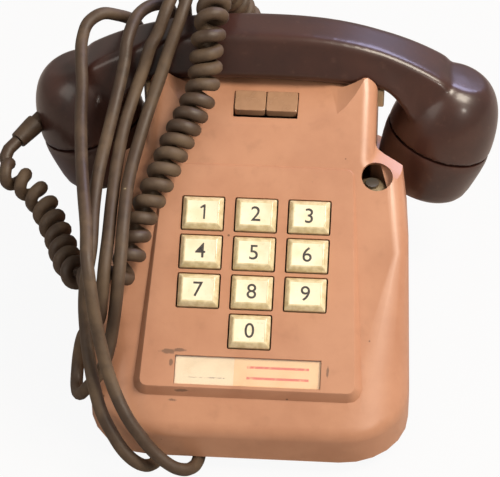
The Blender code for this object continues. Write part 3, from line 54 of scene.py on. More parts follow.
# Cords: vinyl-jacketed, dusty and limp. The handset cord is moulded in curls that have been pulled
# apart near the mouthpiece, and the line cord is wound round the whole telephone.
class Dye:
    """One socket of a finish. Sums and products of it add their Math nodes."""

    SOLID = 0.6  # inner share of a spot or a line that has no soft edge

    def __init__(self, socket):
        self.socket = socket

    def node(self, kind, settings=None, values=None, out=0):
        """Any node: its settings first, then the values or links of its sockets."""
        tree = self.socket.id_data
        made = tree.nodes.new(kind)
        for name, value in (settings or {}).items():
            setattr(made, name, value)
        for key, value in (values or {}).items():
            if isinstance(value, Dye):
                tree.links.new(value.socket, made.inputs[key])
            else:
                made.inputs[key].default_value = value
        return Dye(made.outputs[out])

    def maths(self, operation, *terms):
        """A Math node on values and numbers."""
        return self.node("ShaderNodeMath", {"operation": operation}, dict(enumerate(terms)))

    def __add__(self, other):
        return self.maths("ADD", self, other)

    def __sub__(self, other):
        return self.maths("SUBTRACT", self, other)

    def __rsub__(self, other):
        return self.maths("SUBTRACT", other, self)

    def __mul__(self, other):
        return self.maths("MULTIPLY", self, other)

    __radd__ = __add__
    __rmul__ = __mul__

    def band(self, low, high):
        """0 below low and 1 above high, with a soft step between."""
        settings = {"interpolation_type": "SMOOTHSTEP"}
        return self.node("ShaderNodeMapRange", settings, {0: self, 1: low, 2: high})

    def blend(self, first, second):
        """A colour between two others, with this as the share of the second."""
        values = {0: self, 6: first, 7: second}
        return self.node("ShaderNodeMix", {"data_type": "RGBA"}, values, 2)

    def noise(self, scale, detail=3.0, roughness=0.5):
        """Cloudy values between 0 and 1 at these coordinates."""
        values = {"Vector": self, "Scale": scale, "Detail": detail, "Roughness": roughness}
        return self.node("ShaderNodeTexNoise", None, values)

    def flecks(self, scale, size):
        """Small round spots, one for each cell."""
        cells = self.node("ShaderNodeTexVoronoi", None, {"Vector": self, "Scale": scale})
        return 1 - cells.band(self.SOLID * size, size)

    def moved(self, place, turn=(0.0, 0.0, 0.0), scale=(1.0, 1.0, 1.0)):
        """Coordinates about another origin, turned the other way and stretched."""
        settings = {"vector_type": "TEXTURE"}
        values = {"Vector": self, "Location": place, "Rotation": turn, "Scale": scale}
        return self.node("ShaderNodeMapping", settings, values)

    def part(self, axis):
        """One of three coordinates."""
        return self.node("ShaderNodeSeparateXYZ", None, {0: self}, "XYZ".index(axis))


def colour(red, green, blue):
    """A screen colour, 0 to 255, as linear light."""
    return tuple((value / 255) ** 2.2 for value in (red, green, blue)) + (1.0,)


def finish(name, roughness, **fixed):
    """A new material, its object coordinates, a call that feeds a socket and one that adds relief."""
    look = bpy.data.materials.new(name)
    look.use_nodes = True
    tree = look.node_tree
    shader = tree.nodes["Principled BSDF"]
    shader.inputs["Roughness"].default_value = roughness
    for key, value in fixed.items():
        shader.inputs[key.replace("_", " ")].default_value = value

    def feed(key, dye):
        tree.links.new(dye.socket, shader.inputs[key])

    def relief(height, strength, distance):
        values = {"Height": height, "Strength": strength, "Distance": distance}
        feed("Normal", height.node("ShaderNodeBump", None, values))

    return look, Dye(tree.nodes.new("ShaderNodeTexCoord").outputs["Object"]), feed, relief


cord_vinyl, place, feed, relief = finish("cord vinyl", 0.55)
dust = place.noise(38.0, 5.0, 0.6).band(0.38, 0.72)
grime = place.noise(170.0, 4.0).band(0.45, 0.75)
jacket = dust.blend(colour(70, 55, 44), colour(96, 79, 62))
jacket = (grime * 0.35).blend(jacket, colour(46, 35, 28))
jacket = place.flecks(48.0, 0.055).blend(jacket, colour(196, 180, 140))
feed("Base Color", jacket)
feed("Roughness", 0.50 + 0.22 * dust)
relief(place.noise(620.0, 3.0) + 0.6 * grime, 0.16, 0.0006)

MM = 0.001
GAP = 0.0003                # between a cord's end and the face it meets
CORD_RADIUS = 0.0031
CURL_WIRE = 0.00315         # radius of the curled cord
CURL_RADIUS = 0.0052        # of the curls, at the middle of the cord
CURL_OPEN = 0.0086          # pitch where the curls are pulled apart
CURL_SHUT = 0.0070          # and where they aren't
CURL_OPEN_RADIUS = 0.0044
CURL_OPEN_RUN = 0.1650      # pulled apart over this length from the mouthpiece
CURL_OPEN_END = 0.0500      # and over this length to the case
CURL_EASE = 0.0350          # length of the change between them
CURL_GROW = 0.0120          # length over which the first and the last curl grow
CURL_REST = 1.5             # part of each end that has no curl, in straight ends
CURL_POINTS = 24            # for each curl
CURL_AXIS_STEPS = 60        # for each stretch of the route
LINE_STEPS = 8
GLAND_EXIT = Vector((-0.12154, 0.04293, 0.07839))
GLAND_DIRECTION = Vector((-0.615, -0.742, -0.265)).normalized()
HANDSET_EXIT = Vector((0.0300, 0.1092, 0.0210))
LINE_EXIT = Vector((-0.0120, 0.1092, 0.0210))
HANDSET_ROUTE = [
    (-126.8, 32, 74.4), (-125, 26.5, 72.8), (-119.5, 22, 71.6), (-112.5, 17, 70.2), (-106, 9, 68.3),
    (-100, -2, 66.5), (-94.5, -14, 65.5), (-90, -27, 66.5), (-84.5, -38.5, 68.5),
    (-77, -45.5, 70.5), (-68.5, -47.2, 72), (-61.3, -42.5, 74.8), (-57.3, -32.5, 79.7),
    (-55, -22, 86.2), (-50.3, -12.5, 93), (-44.5, 0, 101.4), (-38.5, 14, 109.6), (-32.4, 26, 117.2),
    (-29.4, 33, 121.3), (-28.1, 39, 125.6), (-27.5, 44.3, 131), (-27.2, 49.7, 137.8),
    (-26, 57, 144), (-25.3, 68, 147), (-24.5, 80, 146), (-23.5, 91, 141), (-21.5, 101, 131),
    (-17, 107.5, 116), (-8, 110.5, 97), (3, 115, 79), (14, 122, 63), (23.5, 131, 50),
    (29, 136.5, 38), (30, 133, 26), (30, 123.5, 21.1),
]
LINE_ROUTE = [
    (-12.2, 124.2, 24.4), (-13, 128.2, 34), (-15.5, 125.5, 51), (-20, 116, 76), (-27, 108, 103),
    (-32.5, 104.5, 121), (-36, 99, 136.5), (-37.3, 89, 146), (-38, 78, 148), (-40.5, 67, 143.5),
    (-44, 58, 136), (-47, 51, 129), (-49.5, 43.5, 123), (-53.5, 31.5, 115), (-57.5, 14, 107.5),
    (-60.6, -8, 101.5), (-61, -28, 96.5), (-61, -44, 89.5), (-61.5, -54, 82), (-62.6, -60.5, 70.5),
    (-64.2, -64, 58.5), (-66, -69, 48.8), (-69.5, -76.5, 41), (-75.5, -80.5, 34.5),
    (-79.8, -78, 27), (-82.3, -70.5, 23.5), (-82.8, -62.5, 26.5), (-82, -57.5, 34.5),
    (-79.8, -56.5, 44.5), (-75, -58.5, 53.5), (-70.8, -61.5, 61.5), (-69.2, -60.5, 73),
    (-68.4, -52, 84.5), (-67.8, -36, 91.5), (-67.8, -18, 96.5), (-67.3, 4, 102), (-65.3, 24, 109),
    (-61.5, 40, 116), (-58, 50, 123), (-55.3, 55.8, 131), (-52, 60.8, 135.5), (-48.5, 68, 143.5),
    (-45.3, 78, 148), (-44.6, 89, 145.5), (-44, 99, 137), (-43, 104, 122), (-42, 103, 100),
    (-40.5, 102, 70), (-38.2, 104, 42), (-36.6, 107.6, 27), (-35.8, 109, 16.5), (-35.3, 105.4, 7.8),
    (-35, 97, 4), (-35.4, 86, 3.9), (-36, 70, 3.9), (-37.5, 20, 3.9), (-39, -30, 3.9),
    (-40.5, -80, 3.9), (-41, -91, 3.9), (-42.8, -99.8, 5), (-46.8, -105.3, 8.8),
    (-51.6, -106.8, 13.6), (-57, -105, 19), (-63.5, -99.5, 27.5), (-67.7, -94.5, 34),
    (-71, -87.5, 41), (-74, -78, 49), (-76.2, -69, 58.5), (-77.3, -61, 70), (-76.8, -54.5, 80.5),
    (-75.5, -42, 88), (-76.2, -20, 94.5), (-75.6, -3, 100.5), (-70.8, 30, 114), (-67.7, 51.5, 124),
    (-66.9, 60, 130.6), (-63.8, 74, 134), (-59.3, 84, 132.5), (-53.8, 93, 127.5), (-51, 103, 118),
    (-48.5, 108.5, 104), (-43, 110.5, 80), (-35, 111, 50), (-29.2, 111, 28), (-27, 109.8, 16.5),
    (-26.2, 105.6, 7.7), (-26, 97, 4), (-26, 86, 3.9), (-26, 70, 3.9), (-25.5, 20, 3.9),
    (-24.5, -30, 3.9), (-22.8, -80, 3.9), (-22, -91, 3.9), (-23.2, -99.6, 4.8),
    (-26.8, -105.6, 7.6), (-31.6, -107.9, 10.8), (-36.6, -107.9, 14.8), (-42.2, -106.5, 20),
    (-48.7, -104, 28.5), (-55, -100, 37), (-60.7, -93, 45.5), (-65.2, -85.5, 54.5),
    (-68.4, -79, 64.5), (-71, -73, 75), (-73.4, -65, 86.5), (-75.7, -55, 95), (-77.3, -40, 99.5),
    (-80.8, -19, 102), (-84.3, 4, 104.5), (-87, 28, 109), (-88.2, 46, 114), (-89.6, 57, 119),
    (-90.5, 70, 122), (-88.3, 79, 125.5), (-82, 84.5, 127), (-74.5, 88, 123.5), (-68, 94.5, 115),
    (-64.5, 99, 102), (-62.5, 101.5, 80), (-62, 103, 50), (-62.5, 105.5, 25), (-64, 110, 10.5),
    (-67, 117, 4), (-72, 126, 3.6), (-80, 134, 3.6), (-90, 138, 3.6),
]


def smooth(route, count):
    """Points on a smooth curve through the route, count of them for each of its stretches."""
    ends = [2 * route[0] - route[1]] + route + [2 * route[-1] - route[-2]]
    points = []
    for a, b, c, d in zip(ends, ends[1:], ends[2:], ends[3:]):
        first, second, third = [sqrt((q - p).length) for p, q in ((a, b), (b, c), (c, d))]
        leave = second * ((b - a) / first - (c - a) / (first + second) + (c - b) / second)
        arrive = second * ((c - b) / second - (d - b) / (second + third) + (d - c) / third)
        points += interpolate_bezier(b, b + leave / 3, c - arrive / 3, c, count + 1)[:-1]
    return points + [route[-1]]


def curled(axis):
    """A helix about the axis, its pitch measured inside each bend, with straight ends."""
    total = sum((q - p).length for p, q in zip(axis, axis[1:]))
    straight = 2 * CURL_WIRE
    tangent = (axis[1] - axis[0]).normalized()
    side = tangent.orthogonal().normalized()
    points = [axis[0], axis[0] + straight * tangent]
    along, turn, made = 0.0, 0.0, 1
    for p, q in zip(axis, axis[1:]):
        heading = (q - p).normalized()
        bend = tangent.angle(heading)
        side = tangent.rotation_difference(heading) @ side
        side = (side - side.dot(heading) * heading).normalized()
        tangent = heading
        along += (q - p).length
        left = min(along, total - along) - CURL_REST * straight
        if left < 0:
            continue
        inner = min(along - CURL_OPEN_RUN, total - CURL_OPEN_END - along)
        shut = min(max(inner / CURL_EASE, 0.0), 1.0)
        pitch = CURL_OPEN + (CURL_SHUT - CURL_OPEN) * shut
        turn += 2 * pi * max(0.0, (q - p).length - CURL_RADIUS * bend) / pitch
        if turn < made * 2 * pi / CURL_POINTS:
            continue
        grown = min(left / CURL_GROW, 1.0)
        radius = CURL_OPEN_RADIUS + (CURL_RADIUS - CURL_OPEN_RADIUS) * shut
        radius = radius * grown * grown * (3 - 2 * grown)
        points.append(q + radius * (cos(turn) * side + sin(turn) * tangent.cross(side)))
        made += 1
    return points + [axis[-1] - straight * tangent, axis[-1]]


def tube(name, points, radius):
    """One unbroken round cord along the points; gives the piece and its length."""
    curve = bpy.data.curves.new(name, "CURVE")
    curve.dimensions = "3D"
    curve.bevel_depth = radius
    curve.bevel_resolution = 4
    curve.use_fill_caps = True
    line = curve.splines.new("POLY")
    line.points.add(len(points) - 1)
    for point, spot in zip(line.points, points):
        point.co = (*spot, 1.0)
    line.use_smooth = True
    curve.materials.append(cord_vinyl)
    piece = bpy.data.objects.new(name, curve)
    bpy.context.scene.collection.objects.link(piece)
    return piece, sum((q - p).length for p, q in zip(points, points[1:]))


def leaving(spot, direction, run):
    """The straight end of a cord, from the face it meets."""
    return [spot + GAP * direction, spot + (GAP + run) * direction]


backwards = Vector((0, 1, 0))
curl_axis = leaving(GLAND_EXIT, GLAND_DIRECTION, 2 * CURL_WIRE)
curl_axis += [MM * Vector(spot) for spot in HANDSET_ROUTE]
curl_axis += leaving(HANDSET_EXIT, backwards, 2 * CURL_WIRE)[::-1]
curls, curls_length = tube("curly_cord", curled(smooth(curl_axis, CURL_AXIS_STEPS)), CURL_WIRE)
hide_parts("handset_cord")
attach(curls, "case")
line_route = leaving(LINE_EXIT, backwards, 2 * CORD_RADIUS)
line_route += [MM * Vector(spot) for spot in LINE_ROUTE]
lead, lead_length = tube("wound_line_cord", smooth(line_route, LINE_STEPS), CORD_RADIUS)
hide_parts("line_cord")
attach(lead, "case")


# Cord fittings: the moulded gland on the mouthpiece, the two grommets in the rear wall and the small
# clear plug. Each is vinyl or plastic moulded onto its cord.
MERGE = 0.00001
FLAT = radians(0.3)
FITTING_EDGE = 0.0004


def active(piece):
    """Select one piece alone."""
    bpy.ops.object.select_all(action="DESELECT")
    piece.select_set(True)
    bpy.context.view_layer.objects.active = piece


def dress(piece, look, slot, body, *nodes):
    """Give a finished piece its look and put it in the place of its CAD nodes."""
    piece.data.materials.clear()
    piece.data.materials.append(look)
    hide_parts(*nodes)
    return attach(piece, body)


def shaded(piece, angle):
    """Shade a piece smooth, apart from edges that turn by more than an angle in degrees."""
    active(piece)
    bpy.ops.object.shade_smooth_by_angle(angle=radians(angle))
    return piece


def skin(node, name, angle):
    """A copy of a solid, its triangles merged and its round walls shaded smooth."""
    piece = bpy.data.objects.new(name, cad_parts[node].data.copy())
    bpy.context.scene.collection.objects.link(piece)
    active(piece)
    bpy.ops.object.mode_set(mode="EDIT")
    bpy.ops.mesh.select_all(action="SELECT")
    bpy.ops.mesh.remove_doubles(threshold=MERGE)
    bpy.ops.mesh.dissolve_limited(angle_limit=FLAT)
    bpy.ops.object.mode_set(mode="OBJECT")
    return shaded(piece, angle)


def applied(piece, kind, **settings):
    """Add a modifier, set it and apply it."""
    active(piece)
    step = piece.modifiers.new(kind.lower(), kind)
    for name, value in settings.items():
        setattr(step, name, value)
    bpy.ops.object.modifier_apply(modifier=step.name)
    return piece


def eased(piece, width, segments, angle):
    """Round off the edges that turn by more than an angle in degrees."""
    return applied(piece, "BEVEL", width=width, segments=segments, limit_method="ANGLE",
                   angle_limit=radians(angle))


for node, body in (("handset_gland", "handset"), ("handset_cord_grommet", "case"),
                   ("line_cord_grommet", "case")):
    fitting = skin(node, node + "_moulding", 50)
    shaded(eased(fitting, FITTING_EDGE, 2, 40), 50)
    dress(fitting, cord_vinyl, "cord_jacket", body, node)
clear_plug, place, feed, relief = finish("clear plug plastic", 0.18, Coat_Weight=0.4)
cloudy = place.noise(260.0, 3.0)
feed("Base Color", cloudy.blend(colour(214, 204, 182), colour(190, 176, 146)))
feed("Roughness", 0.14 + 0.16 * cloudy)
plug = eased(skin("line_plug", "plug_moulding", 30), FITTING_EDGE, 2, 40)
dress(plug, clear_plug, "clear_plastic", "case", "line_plug")

# Case: one injection moulding in tan plastic with the sloping key face, the neck and the cradle. It is
# satin from handling, with smudges, dark flecks and rubbed spots round the label.
SLOPE = radians(31.0)
FACE = Matrix.Translation((0, -0.0267, 0.0744)) @ Matrix.Rotation(SLOPE, 4, "X")
CASE_EDGE = 0.0004
RUBBED_DEPTH = 0.01
RAGGED_SHARE = 1.6
RUBBED = (  # across and up the key face, half width and half height
    (-0.0375, -0.0490, 0.0050, 0.0016), (-0.0362, -0.0545, 0.0011, 0.0022),
    (-0.0325, -0.0483, 0.0040, 0.0010), (-0.0350, -0.0712, 0.0030, 0.0009),
    (0.0376, -0.0560, 0.0007, 0.0040), (-0.0300, -0.0672, 0.0040, 0.0006),
)
case_plastic, place, feed, relief = finish("tan case plastic", 0.36, Coat_Weight=0.12, Coat_Roughness=0.3)
on_face = place.moved(FACE.translation, FACE.to_euler())
smudge = place.noise(26.0, 5.0, 0.6)
mottle = place.noise(120.0, 4.0)
ragged = place.noise(330.0, 5.0, 0.65)


def rubbed(x, u, wide, high):
    """A rubbed spot with ragged edges, at a place on the key face."""
    local = on_face.moved((x, u, 0), (0, 0, 0), (wide, high, RUBBED_DEPTH))
    away = local.node("ShaderNodeVectorMath", {"operation": "LENGTH"}, {0: local}, 1)
    return 1 - (away + RAGGED_SHARE * (ragged - 0.5)).band(0.55, 1.0)


shade = smudge.band(0.35, 0.75).blend(colour(186, 136, 108), colour(172, 122, 95))
shade = (mottle.band(0.55, 0.8) * 0.3).blend(shade, colour(150, 106, 82))
shade = place.flecks(70.0, 0.05).blend(shade, colour(112, 80, 62))
for spot in RUBBED:
    shade = (rubbed(*spot) * 0.75).blend(shade, colour(104, 82, 68))
grease = place.noise(9.0, 3.0).band(0.42, 0.62)
feed("Base Color", shade)
feed("Roughness", 0.26 + 0.14 * smudge + 0.10 * grease)
relief(place.noise(900.0, 2.0) + 0.5 * mottle, 0.05, 0.0004)
shell = shaded(eased(skin("upper_case", "case_shell", 32), CASE_EDGE, 2, 32), 40)
applied(shell, "WEIGHTED_NORMAL", keep_sharp=True, weight=60)
dress(shell, case_plastic, "case_plastic", "case", "upper_case")

# Base: a dark moulded plate that closes the case from below, held by two plated screws. It stands on
# four rubber feet.
FOOT_EDGE = 0.0006
base_plastic, place, feed, relief = finish("grey base plastic", 0.55)
grain = place.noise(420.0, 4.0)
feed("Base Color", grain.blend(colour(74, 70, 66), colour(92, 87, 80)))
feed("Roughness", 0.45 + 0.25 * grain)
relief(grain, 0.25, 0.0004)
foot_rubber, place, feed, relief = finish("foot rubber", 0.85)
bloom = place.noise(150.0, 5.0)
feed("Base Color", bloom.blend(colour(26, 25, 24), colour(58, 55, 52)))
relief(bloom, 0.2, 0.0004)
steel, place, feed, relief = finish("plated steel", 0.32, Metallic=1.0)
tarnish = place.noise(90.0, 5.0)
feed("Base Color", tarnish.blend(colour(196, 194, 188), colour(132, 126, 114)))
feed("Roughness", 0.25 + 0.35 * tarnish)


def paint(node, look):
    """A look for a solid that stays as it is."""
    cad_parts[node].data.materials.clear()
    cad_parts[node].data.materials.append(look)


paint("base_plate", base_plastic)
for node in ("base_screw_front", "base_screw_rear"):
    dress(skin(node, node + "_head", 35), steel, "plated_steel", "case", node)
for node in ("foot_front_left", "foot_front_right", "foot_rear_left", "foot_rear_right"):
    foot = shaded(eased(skin(node, node + "_pad", 35), FOOT_EDGE, 2, 30), 40)
    dress(foot, foot_rubber, "rubber", "case", node)

# Keys: moulded caps with a clear, yellowed bevel round a cream face, and a printed number. Each one
# slides in its own aperture of the key face.
PITCH_X = 0.0254
PITCH_U = 0.01905
KEY_WIDTH = 0.0194
KEY_DEPTH = 0.0160
KEY_TOP_WIDTH = 0.0157
KEY_TOP_DEPTH = 0.0121
KEY_RIM = 0.0005
KEY_RISE = 0.0031
KEY_SKIRT = 0.0070
KEY_EDGE = 0.00045
KEY_FACE_INSET = 0.0002
KEY_FACE_SINK = 0.00006
DIGIT_HEIGHT = 0.0072
DIGIT_SINK = 0.00004
INK_DEPTH = 0.004           # in parts of the letter size, as is the outline of the one
INK_SPREAD = 0.004
ONE = ((0.07, -0.36), (0.07, 0.36), (0.0, 0.36), (-0.19, 0.22), (-0.14, 0.15), (-0.02, 0.23),
       (-0.02, -0.36))
key_edge, place, feed, relief = finish("yellowed key edge", 0.16, Coat_Weight=0.5)
cloud = place.noise(300.0, 4.0)
feed("Base Color", cloud.band(0.3, 0.7).blend(colour(226, 212, 174), colour(200, 182, 140)))
feed("Roughness", 0.12 + 0.2 * cloud)
key_cream, place, feed, relief = finish("cream key face", 0.34)
cloud = place.noise(130.0, 4.0)
face = cloud.band(0.35, 0.75).blend(colour(240, 231, 204), colour(228, 216, 182))
specks = place.noise(700.0, 3.0).band(0.62, 0.75)
feed("Base Color", (specks * 0.4).blend(face, colour(196, 182, 142)))
feed("Roughness", 0.28 + 0.2 * cloud)
ink, place, feed, relief = finish("grey printing ink", 0.5)
faded = place.noise(900.0, 3.0)
feed("Base Color", faded.band(0.45, 0.8).blend(colour(56, 52, 52), colour(98, 92, 84)))


def pick_top(piece):
    """Select the highest face that looks up, in edit mode."""
    active(piece)
    bpy.ops.object.mode_set(mode="EDIT")
    bpy.ops.mesh.select_all(action="DESELECT")
    bpy.ops.mesh.select_mode(type="FACE")
    bpy.ops.object.mode_set(mode="OBJECT")
    top = max(piece.data.polygons, key=lambda face: (round(face.normal.z, 3), face.center.z))
    top.select = True
    bpy.ops.object.mode_set(mode="EDIT")


bpy.ops.object.select_all(action="DESELECT")
bpy.ops.mesh.primitive_cube_add(size=1, location=(0, 0, (KEY_RIM - KEY_SKIRT) / 2),
                                scale=(KEY_WIDTH, KEY_DEPTH, KEY_RIM + KEY_SKIRT))
pattern = bpy.context.object
bpy.ops.object.transform_apply(location=True, rotation=True, scale=True)
pick_top(pattern)
bpy.ops.mesh.extrude_region_move(TRANSFORM_OT_translate={"value": (0, 0, KEY_RISE - KEY_RIM)})
bpy.ops.transform.resize(value=(KEY_TOP_WIDTH / KEY_WIDTH, KEY_TOP_DEPTH / KEY_DEPTH, 1))
bpy.ops.object.mode_set(mode="OBJECT")
eased(pattern, KEY_EDGE, 3, 20)
pick_top(pattern)
bpy.ops.mesh.inset(thickness=KEY_FACE_INSET, depth=-KEY_FACE_SINK)
bpy.ops.object.mode_set(mode="OBJECT")
pattern.data.materials.append(key_edge)
pattern.data.materials.append(key_cream)
for polygon in pattern.data.polygons:
    polygon.material_index = 1 if polygon.select else 0
shaded(pattern, 35)

KEYS = {str(3 * (1 - row) + column + 2): (column * PITCH_X, row * PITCH_U)
        for row in (1, 0, -1) for column in (-1, 0, 1)}
KEYS["0"] = (0.0, -2 * PITCH_U)
for digit, (x, u) in KEYS.items():
    spot = FACE @ Matrix.Translation((x, u, 0))
    key = bpy.data.objects.new("key_cap_" + digit, pattern.data.copy())
    bpy.context.scene.collection.objects.link(key)
    key.data.transform(spot)
    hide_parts("key_" + digit)
    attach(key, "key_" + digit)
    bpy.ops.object.select_all(action="DESELECT")
    bpy.ops.object.text_add()
    print_mark = bpy.context.object
    print_mark.name = "digit_" + digit
    print_mark.data.body = digit
    print_mark.data.extrude = INK_DEPTH
    print_mark.data.offset = INK_SPREAD
    bpy.ops.object.convert(target="MESH")
    if digit == "1":
        stroke = bpy.data.meshes.new("one")
        stroke.from_pydata([(x, y, 0) for x, y in ONE], [], [range(len(ONE))])
        print_mark.data = stroke
        applied(print_mark, "SOLIDIFY", thickness=2 * INK_DEPTH, offset=0)
    corners = [Vector(corner) for corner in print_mark.bound_box]
    middle = sum(corners, Vector()) / 8
    scale = DIGIT_HEIGHT / (corners[6].y - corners[0].y)
    print_mark.data.transform(Matrix.Scale(scale, 4) @ Matrix.Translation(-middle))
    print_mark.data.transform(spot @ Matrix.Translation((0, 0, KEY_RISE - DIGIT_SINK)))
    print_mark.data.materials.clear()
    print_mark.data.materials.append(ink)
    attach(print_mark, "key_" + digit)
bpy.data.objects.remove(pattern, do_unlink=True)

# Inside the case and the handset, out of sight: grey mouldings, brown laminate boards, copper windings
# and plated steel sheet. They are screwed or clipped to the case, the base and the bulbs.
board, place, feed, relief = finish("brown circuit board", 0.55)
tracks = place.noise(240.0, 2.0).band(0.48, 0.52)
feed("Base Color", tracks.blend(colour(104, 72, 40), colour(140, 96, 58)))
relief(tracks, 0.3, 0.0003)
windings, place, feed, relief = finish("wound copper", 0.4, Metallic=1.0)
turns = place.node("ShaderNodeTexWave", {"bands_direction": "X"}, {"Vector": place, "Scale": 900.0})
feed("Base Color", turns.blend(colour(150, 84, 46), colour(196, 122, 76)))
relief(turns, 0.4, 0.0004)
for node in ("key_frame", "terminal_block", "hook_contacts"):
    paint(node, base_plastic)
for node in ("key_board", "main_board"):
    paint(node, board)
for node in ("induction_coil", "ringer_spool"):
    paint(node, windings)
for node in ("capacitor", "hook_bracket", "hook_lever", "ringer_frame", "clapper", "receiver_capsule",
             "transmitter_capsule"):
    paint(node, steel)

# Gong: a pressed and dulled bell cup, which shows through the round hole in the shoulder. A screw holds
# it on the ringer frame, beside the clapper.
bell_metal, place, feed, relief = finish("dull bell metal", 0.42, Metallic=0.5)
patina = place.noise(210.0, 5.0, 0.65)
feed("Base Color", patina.band(0.3, 0.7).blend(colour(158, 142, 116), colour(112, 98, 78)))
feed("Roughness", 0.32 + 0.3 * patina)
relief(patina, 0.12, 0.0003)
dress(skin("gong", "gong_cup", 50), bell_metal, "gong_metal", "case", "gong")
dress(skin("gong_screw", "gong_screw_head", 35), steel, "plated_steel", "case", "gong_screw")

# Label: a paper slip and a card with ruled lines behind a thin clear window. The window is sunk in the
# key face, below the keys.
LABEL_U = -0.05745
LABEL_SPLIT = -0.0066
RULE_FADE = 0.0003
RED_HEIGHT = 0.0026
RED_LINE = (-0.0006, 0.0290, 0.00075)  # start, end and half width
PENCIL_HEIGHT = -0.0032
PENCIL_LINE = (-0.0285, -0.0105, 0.00035)
card_paper, place, feed, relief = finish("label paper", 0.8)
flat = place.moved(FACE @ Vector((0, LABEL_U, 0)), (SLOPE, 0, 0))
across, up = flat.part("X"), flat.part("Y")
fibre = flat.noise(420.0, 4.0)
stain = flat.noise(85.0, 4.0).band(0.45, 0.75)
paper = (stain * 0.6).blend(colour(236, 216, 184), colour(216, 190, 154))
card = (stain * 0.6).blend(colour(236, 196, 148), colour(224, 178, 128))
sheet = across.band(LABEL_SPLIT, LABEL_SPLIT + 0.0002).blend(paper, card)


def rule(height, start, end, width):
    """A drawn line across the label between two ends."""
    away = up - height
    off = away.maths("ABSOLUTE", away)
    within = across.band(start, start + RULE_FADE) * (1 - across.band(end - RULE_FADE, end))
    return (1 - off.band(Dye.SOLID * width, width)) * within


red = rule(RED_HEIGHT, *RED_LINE) + rule(-RED_HEIGHT, *RED_LINE)
pencil = rule(PENCIL_HEIGHT, *PENCIL_LINE)
sheet = (red * fibre.band(0.2, 0.5)).blend(sheet, colour(214, 92, 74))
sheet = (pencil * fibre.band(0.35, 0.6)).blend(sheet, colour(150, 136, 122))
feed("Base Color", sheet)
relief(fibre, 0.12, 0.0003)
paint("label_card", card_paper)
window_plastic, place, feed, relief = finish("clear window", 0.12, Alpha=0.10)
feed("Roughness", 0.08 + 0.3 * place.noise(300.0, 4.0))
paint("label_window", window_plastic)

# Press tabs and hook plungers: clear mouldings gone amber. The tabs lie in the scooped front of the
# cradle and the plungers stand in slots at both ends of it, under the handle.
TAB_EDGE = 0.0003
PLUNGER_EDGE = 0.0009
tab_plastic, place, feed, relief = finish("amber tab plastic", 0.2, Coat_Weight=0.4)
cloud = place.noise(260.0, 4.0)
feed("Base Color", cloud.blend(colour(176, 137, 108), colour(148, 113, 88)))
feed("Roughness", 0.15 + 0.2 * cloud)
for side in ("left", "right"):
    tab = skin("press_tab_" + side, "tab_" + side, 30)
    shaded(eased(tab, TAB_EDGE, 2, 40), 40)
    dress(tab, tab_plastic, "clear_plastic", "press_tab_" + side, "press_tab_" + side)
plunger_plastic, place, feed, relief = finish("cream plunger plastic", 0.25, Coat_Weight=0.3)
cloud = place.noise(240.0, 4.0)
feed("Base Color", cloud.blend(colour(226, 204, 168), colour(198, 170, 128)))
feed("Roughness", 0.2 + 0.2 * cloud)
for side in ("left", "right"):
    plunger = skin("hook_plunger_" + side, "plunger_" + side, 30)
    shaded(eased(plunger, PLUNGER_EDGE, 3, 40), 40)
    dress(plunger, plunger_plastic, "clear_plastic", "hook_plunger_" + side, "hook_plunger_" + side)

# Handset: a hollow brown moulding, polished by use. Its arched handle has round edges and flares into a
# bulb at each end.
HANDSET = Matrix.Translation((0, 0.0686, 0.1122)) @ Matrix.Rotation(radians(-8.0), 4, "X")
NECK_HALF = 0.0553          # half the width of the cradle
HANDLE_HEIGHT = 0.0230
HANDLE_HALF_LOW = 0.0170
HANDLE_HALF_TOP = 0.0128
HANDLE_ROUND = 0.0045
HANDLE_ARCH = 0.0265        # fall of its top at the ends
ARCH_POWER = 2.5
HANDLE_SAG = 0.0030         # fall of its underside at the ends of the cradle
HANDLE_FLARE = 58.0         # and beyond the cradle, for each square metre of run
HANDLE_TUCK = 0.0045        # its top corners draw in inside the bulbs
SWELL_LOW = 0.35            # growth towards the bulb's width, at its underside
SWELL_TOP = 0.15            # and at its top
BULB_RADIUS = 0.0267
BULB_X = 0.0862
BULB_DROP = 0.0370          # seam of the cap below the middle of the handle
BULB_DOME = 0.0365
BULB_TURN = radians(18.0)
BULB_WALL = 0.0023
BULB_SIDES = 72
DOME_STEPS = 24
DOME_FULLNESS = 0.62
DOME_RISE = 1.1
SPIGOT = 0.0070             # screwed length of a cap
HANDLE_REACH = BULB_RADIUS / 3
HANDLE_END = BULB_X + HANDLE_REACH
RING = 64                   # points round the handle
STATIONS = 81               # and along it
BLEND_VOXEL = 0.0011
BLEND_ROUNDS = 10
handset_plastic, place, feed, relief = finish("brown handset plastic", 0.28, Coat_Weight=0.25,
                                              Coat_Roughness=0.15)
smudge = place.noise(34.0, 5.0, 0.6)
streak = place.noise(240.0, 4.0)
shade = smudge.band(0.3, 0.75).blend(colour(69, 45, 39), colour(54, 35, 31))
feed("Base Color", (streak.band(0.6, 0.8) * 0.3).blend(shade, colour(98, 72, 62)))
feed("Roughness", 0.22 + 0.22 * smudge)
relief(place.noise(800.0, 2.0) + 0.4 * streak, 0.04, 0.0004)


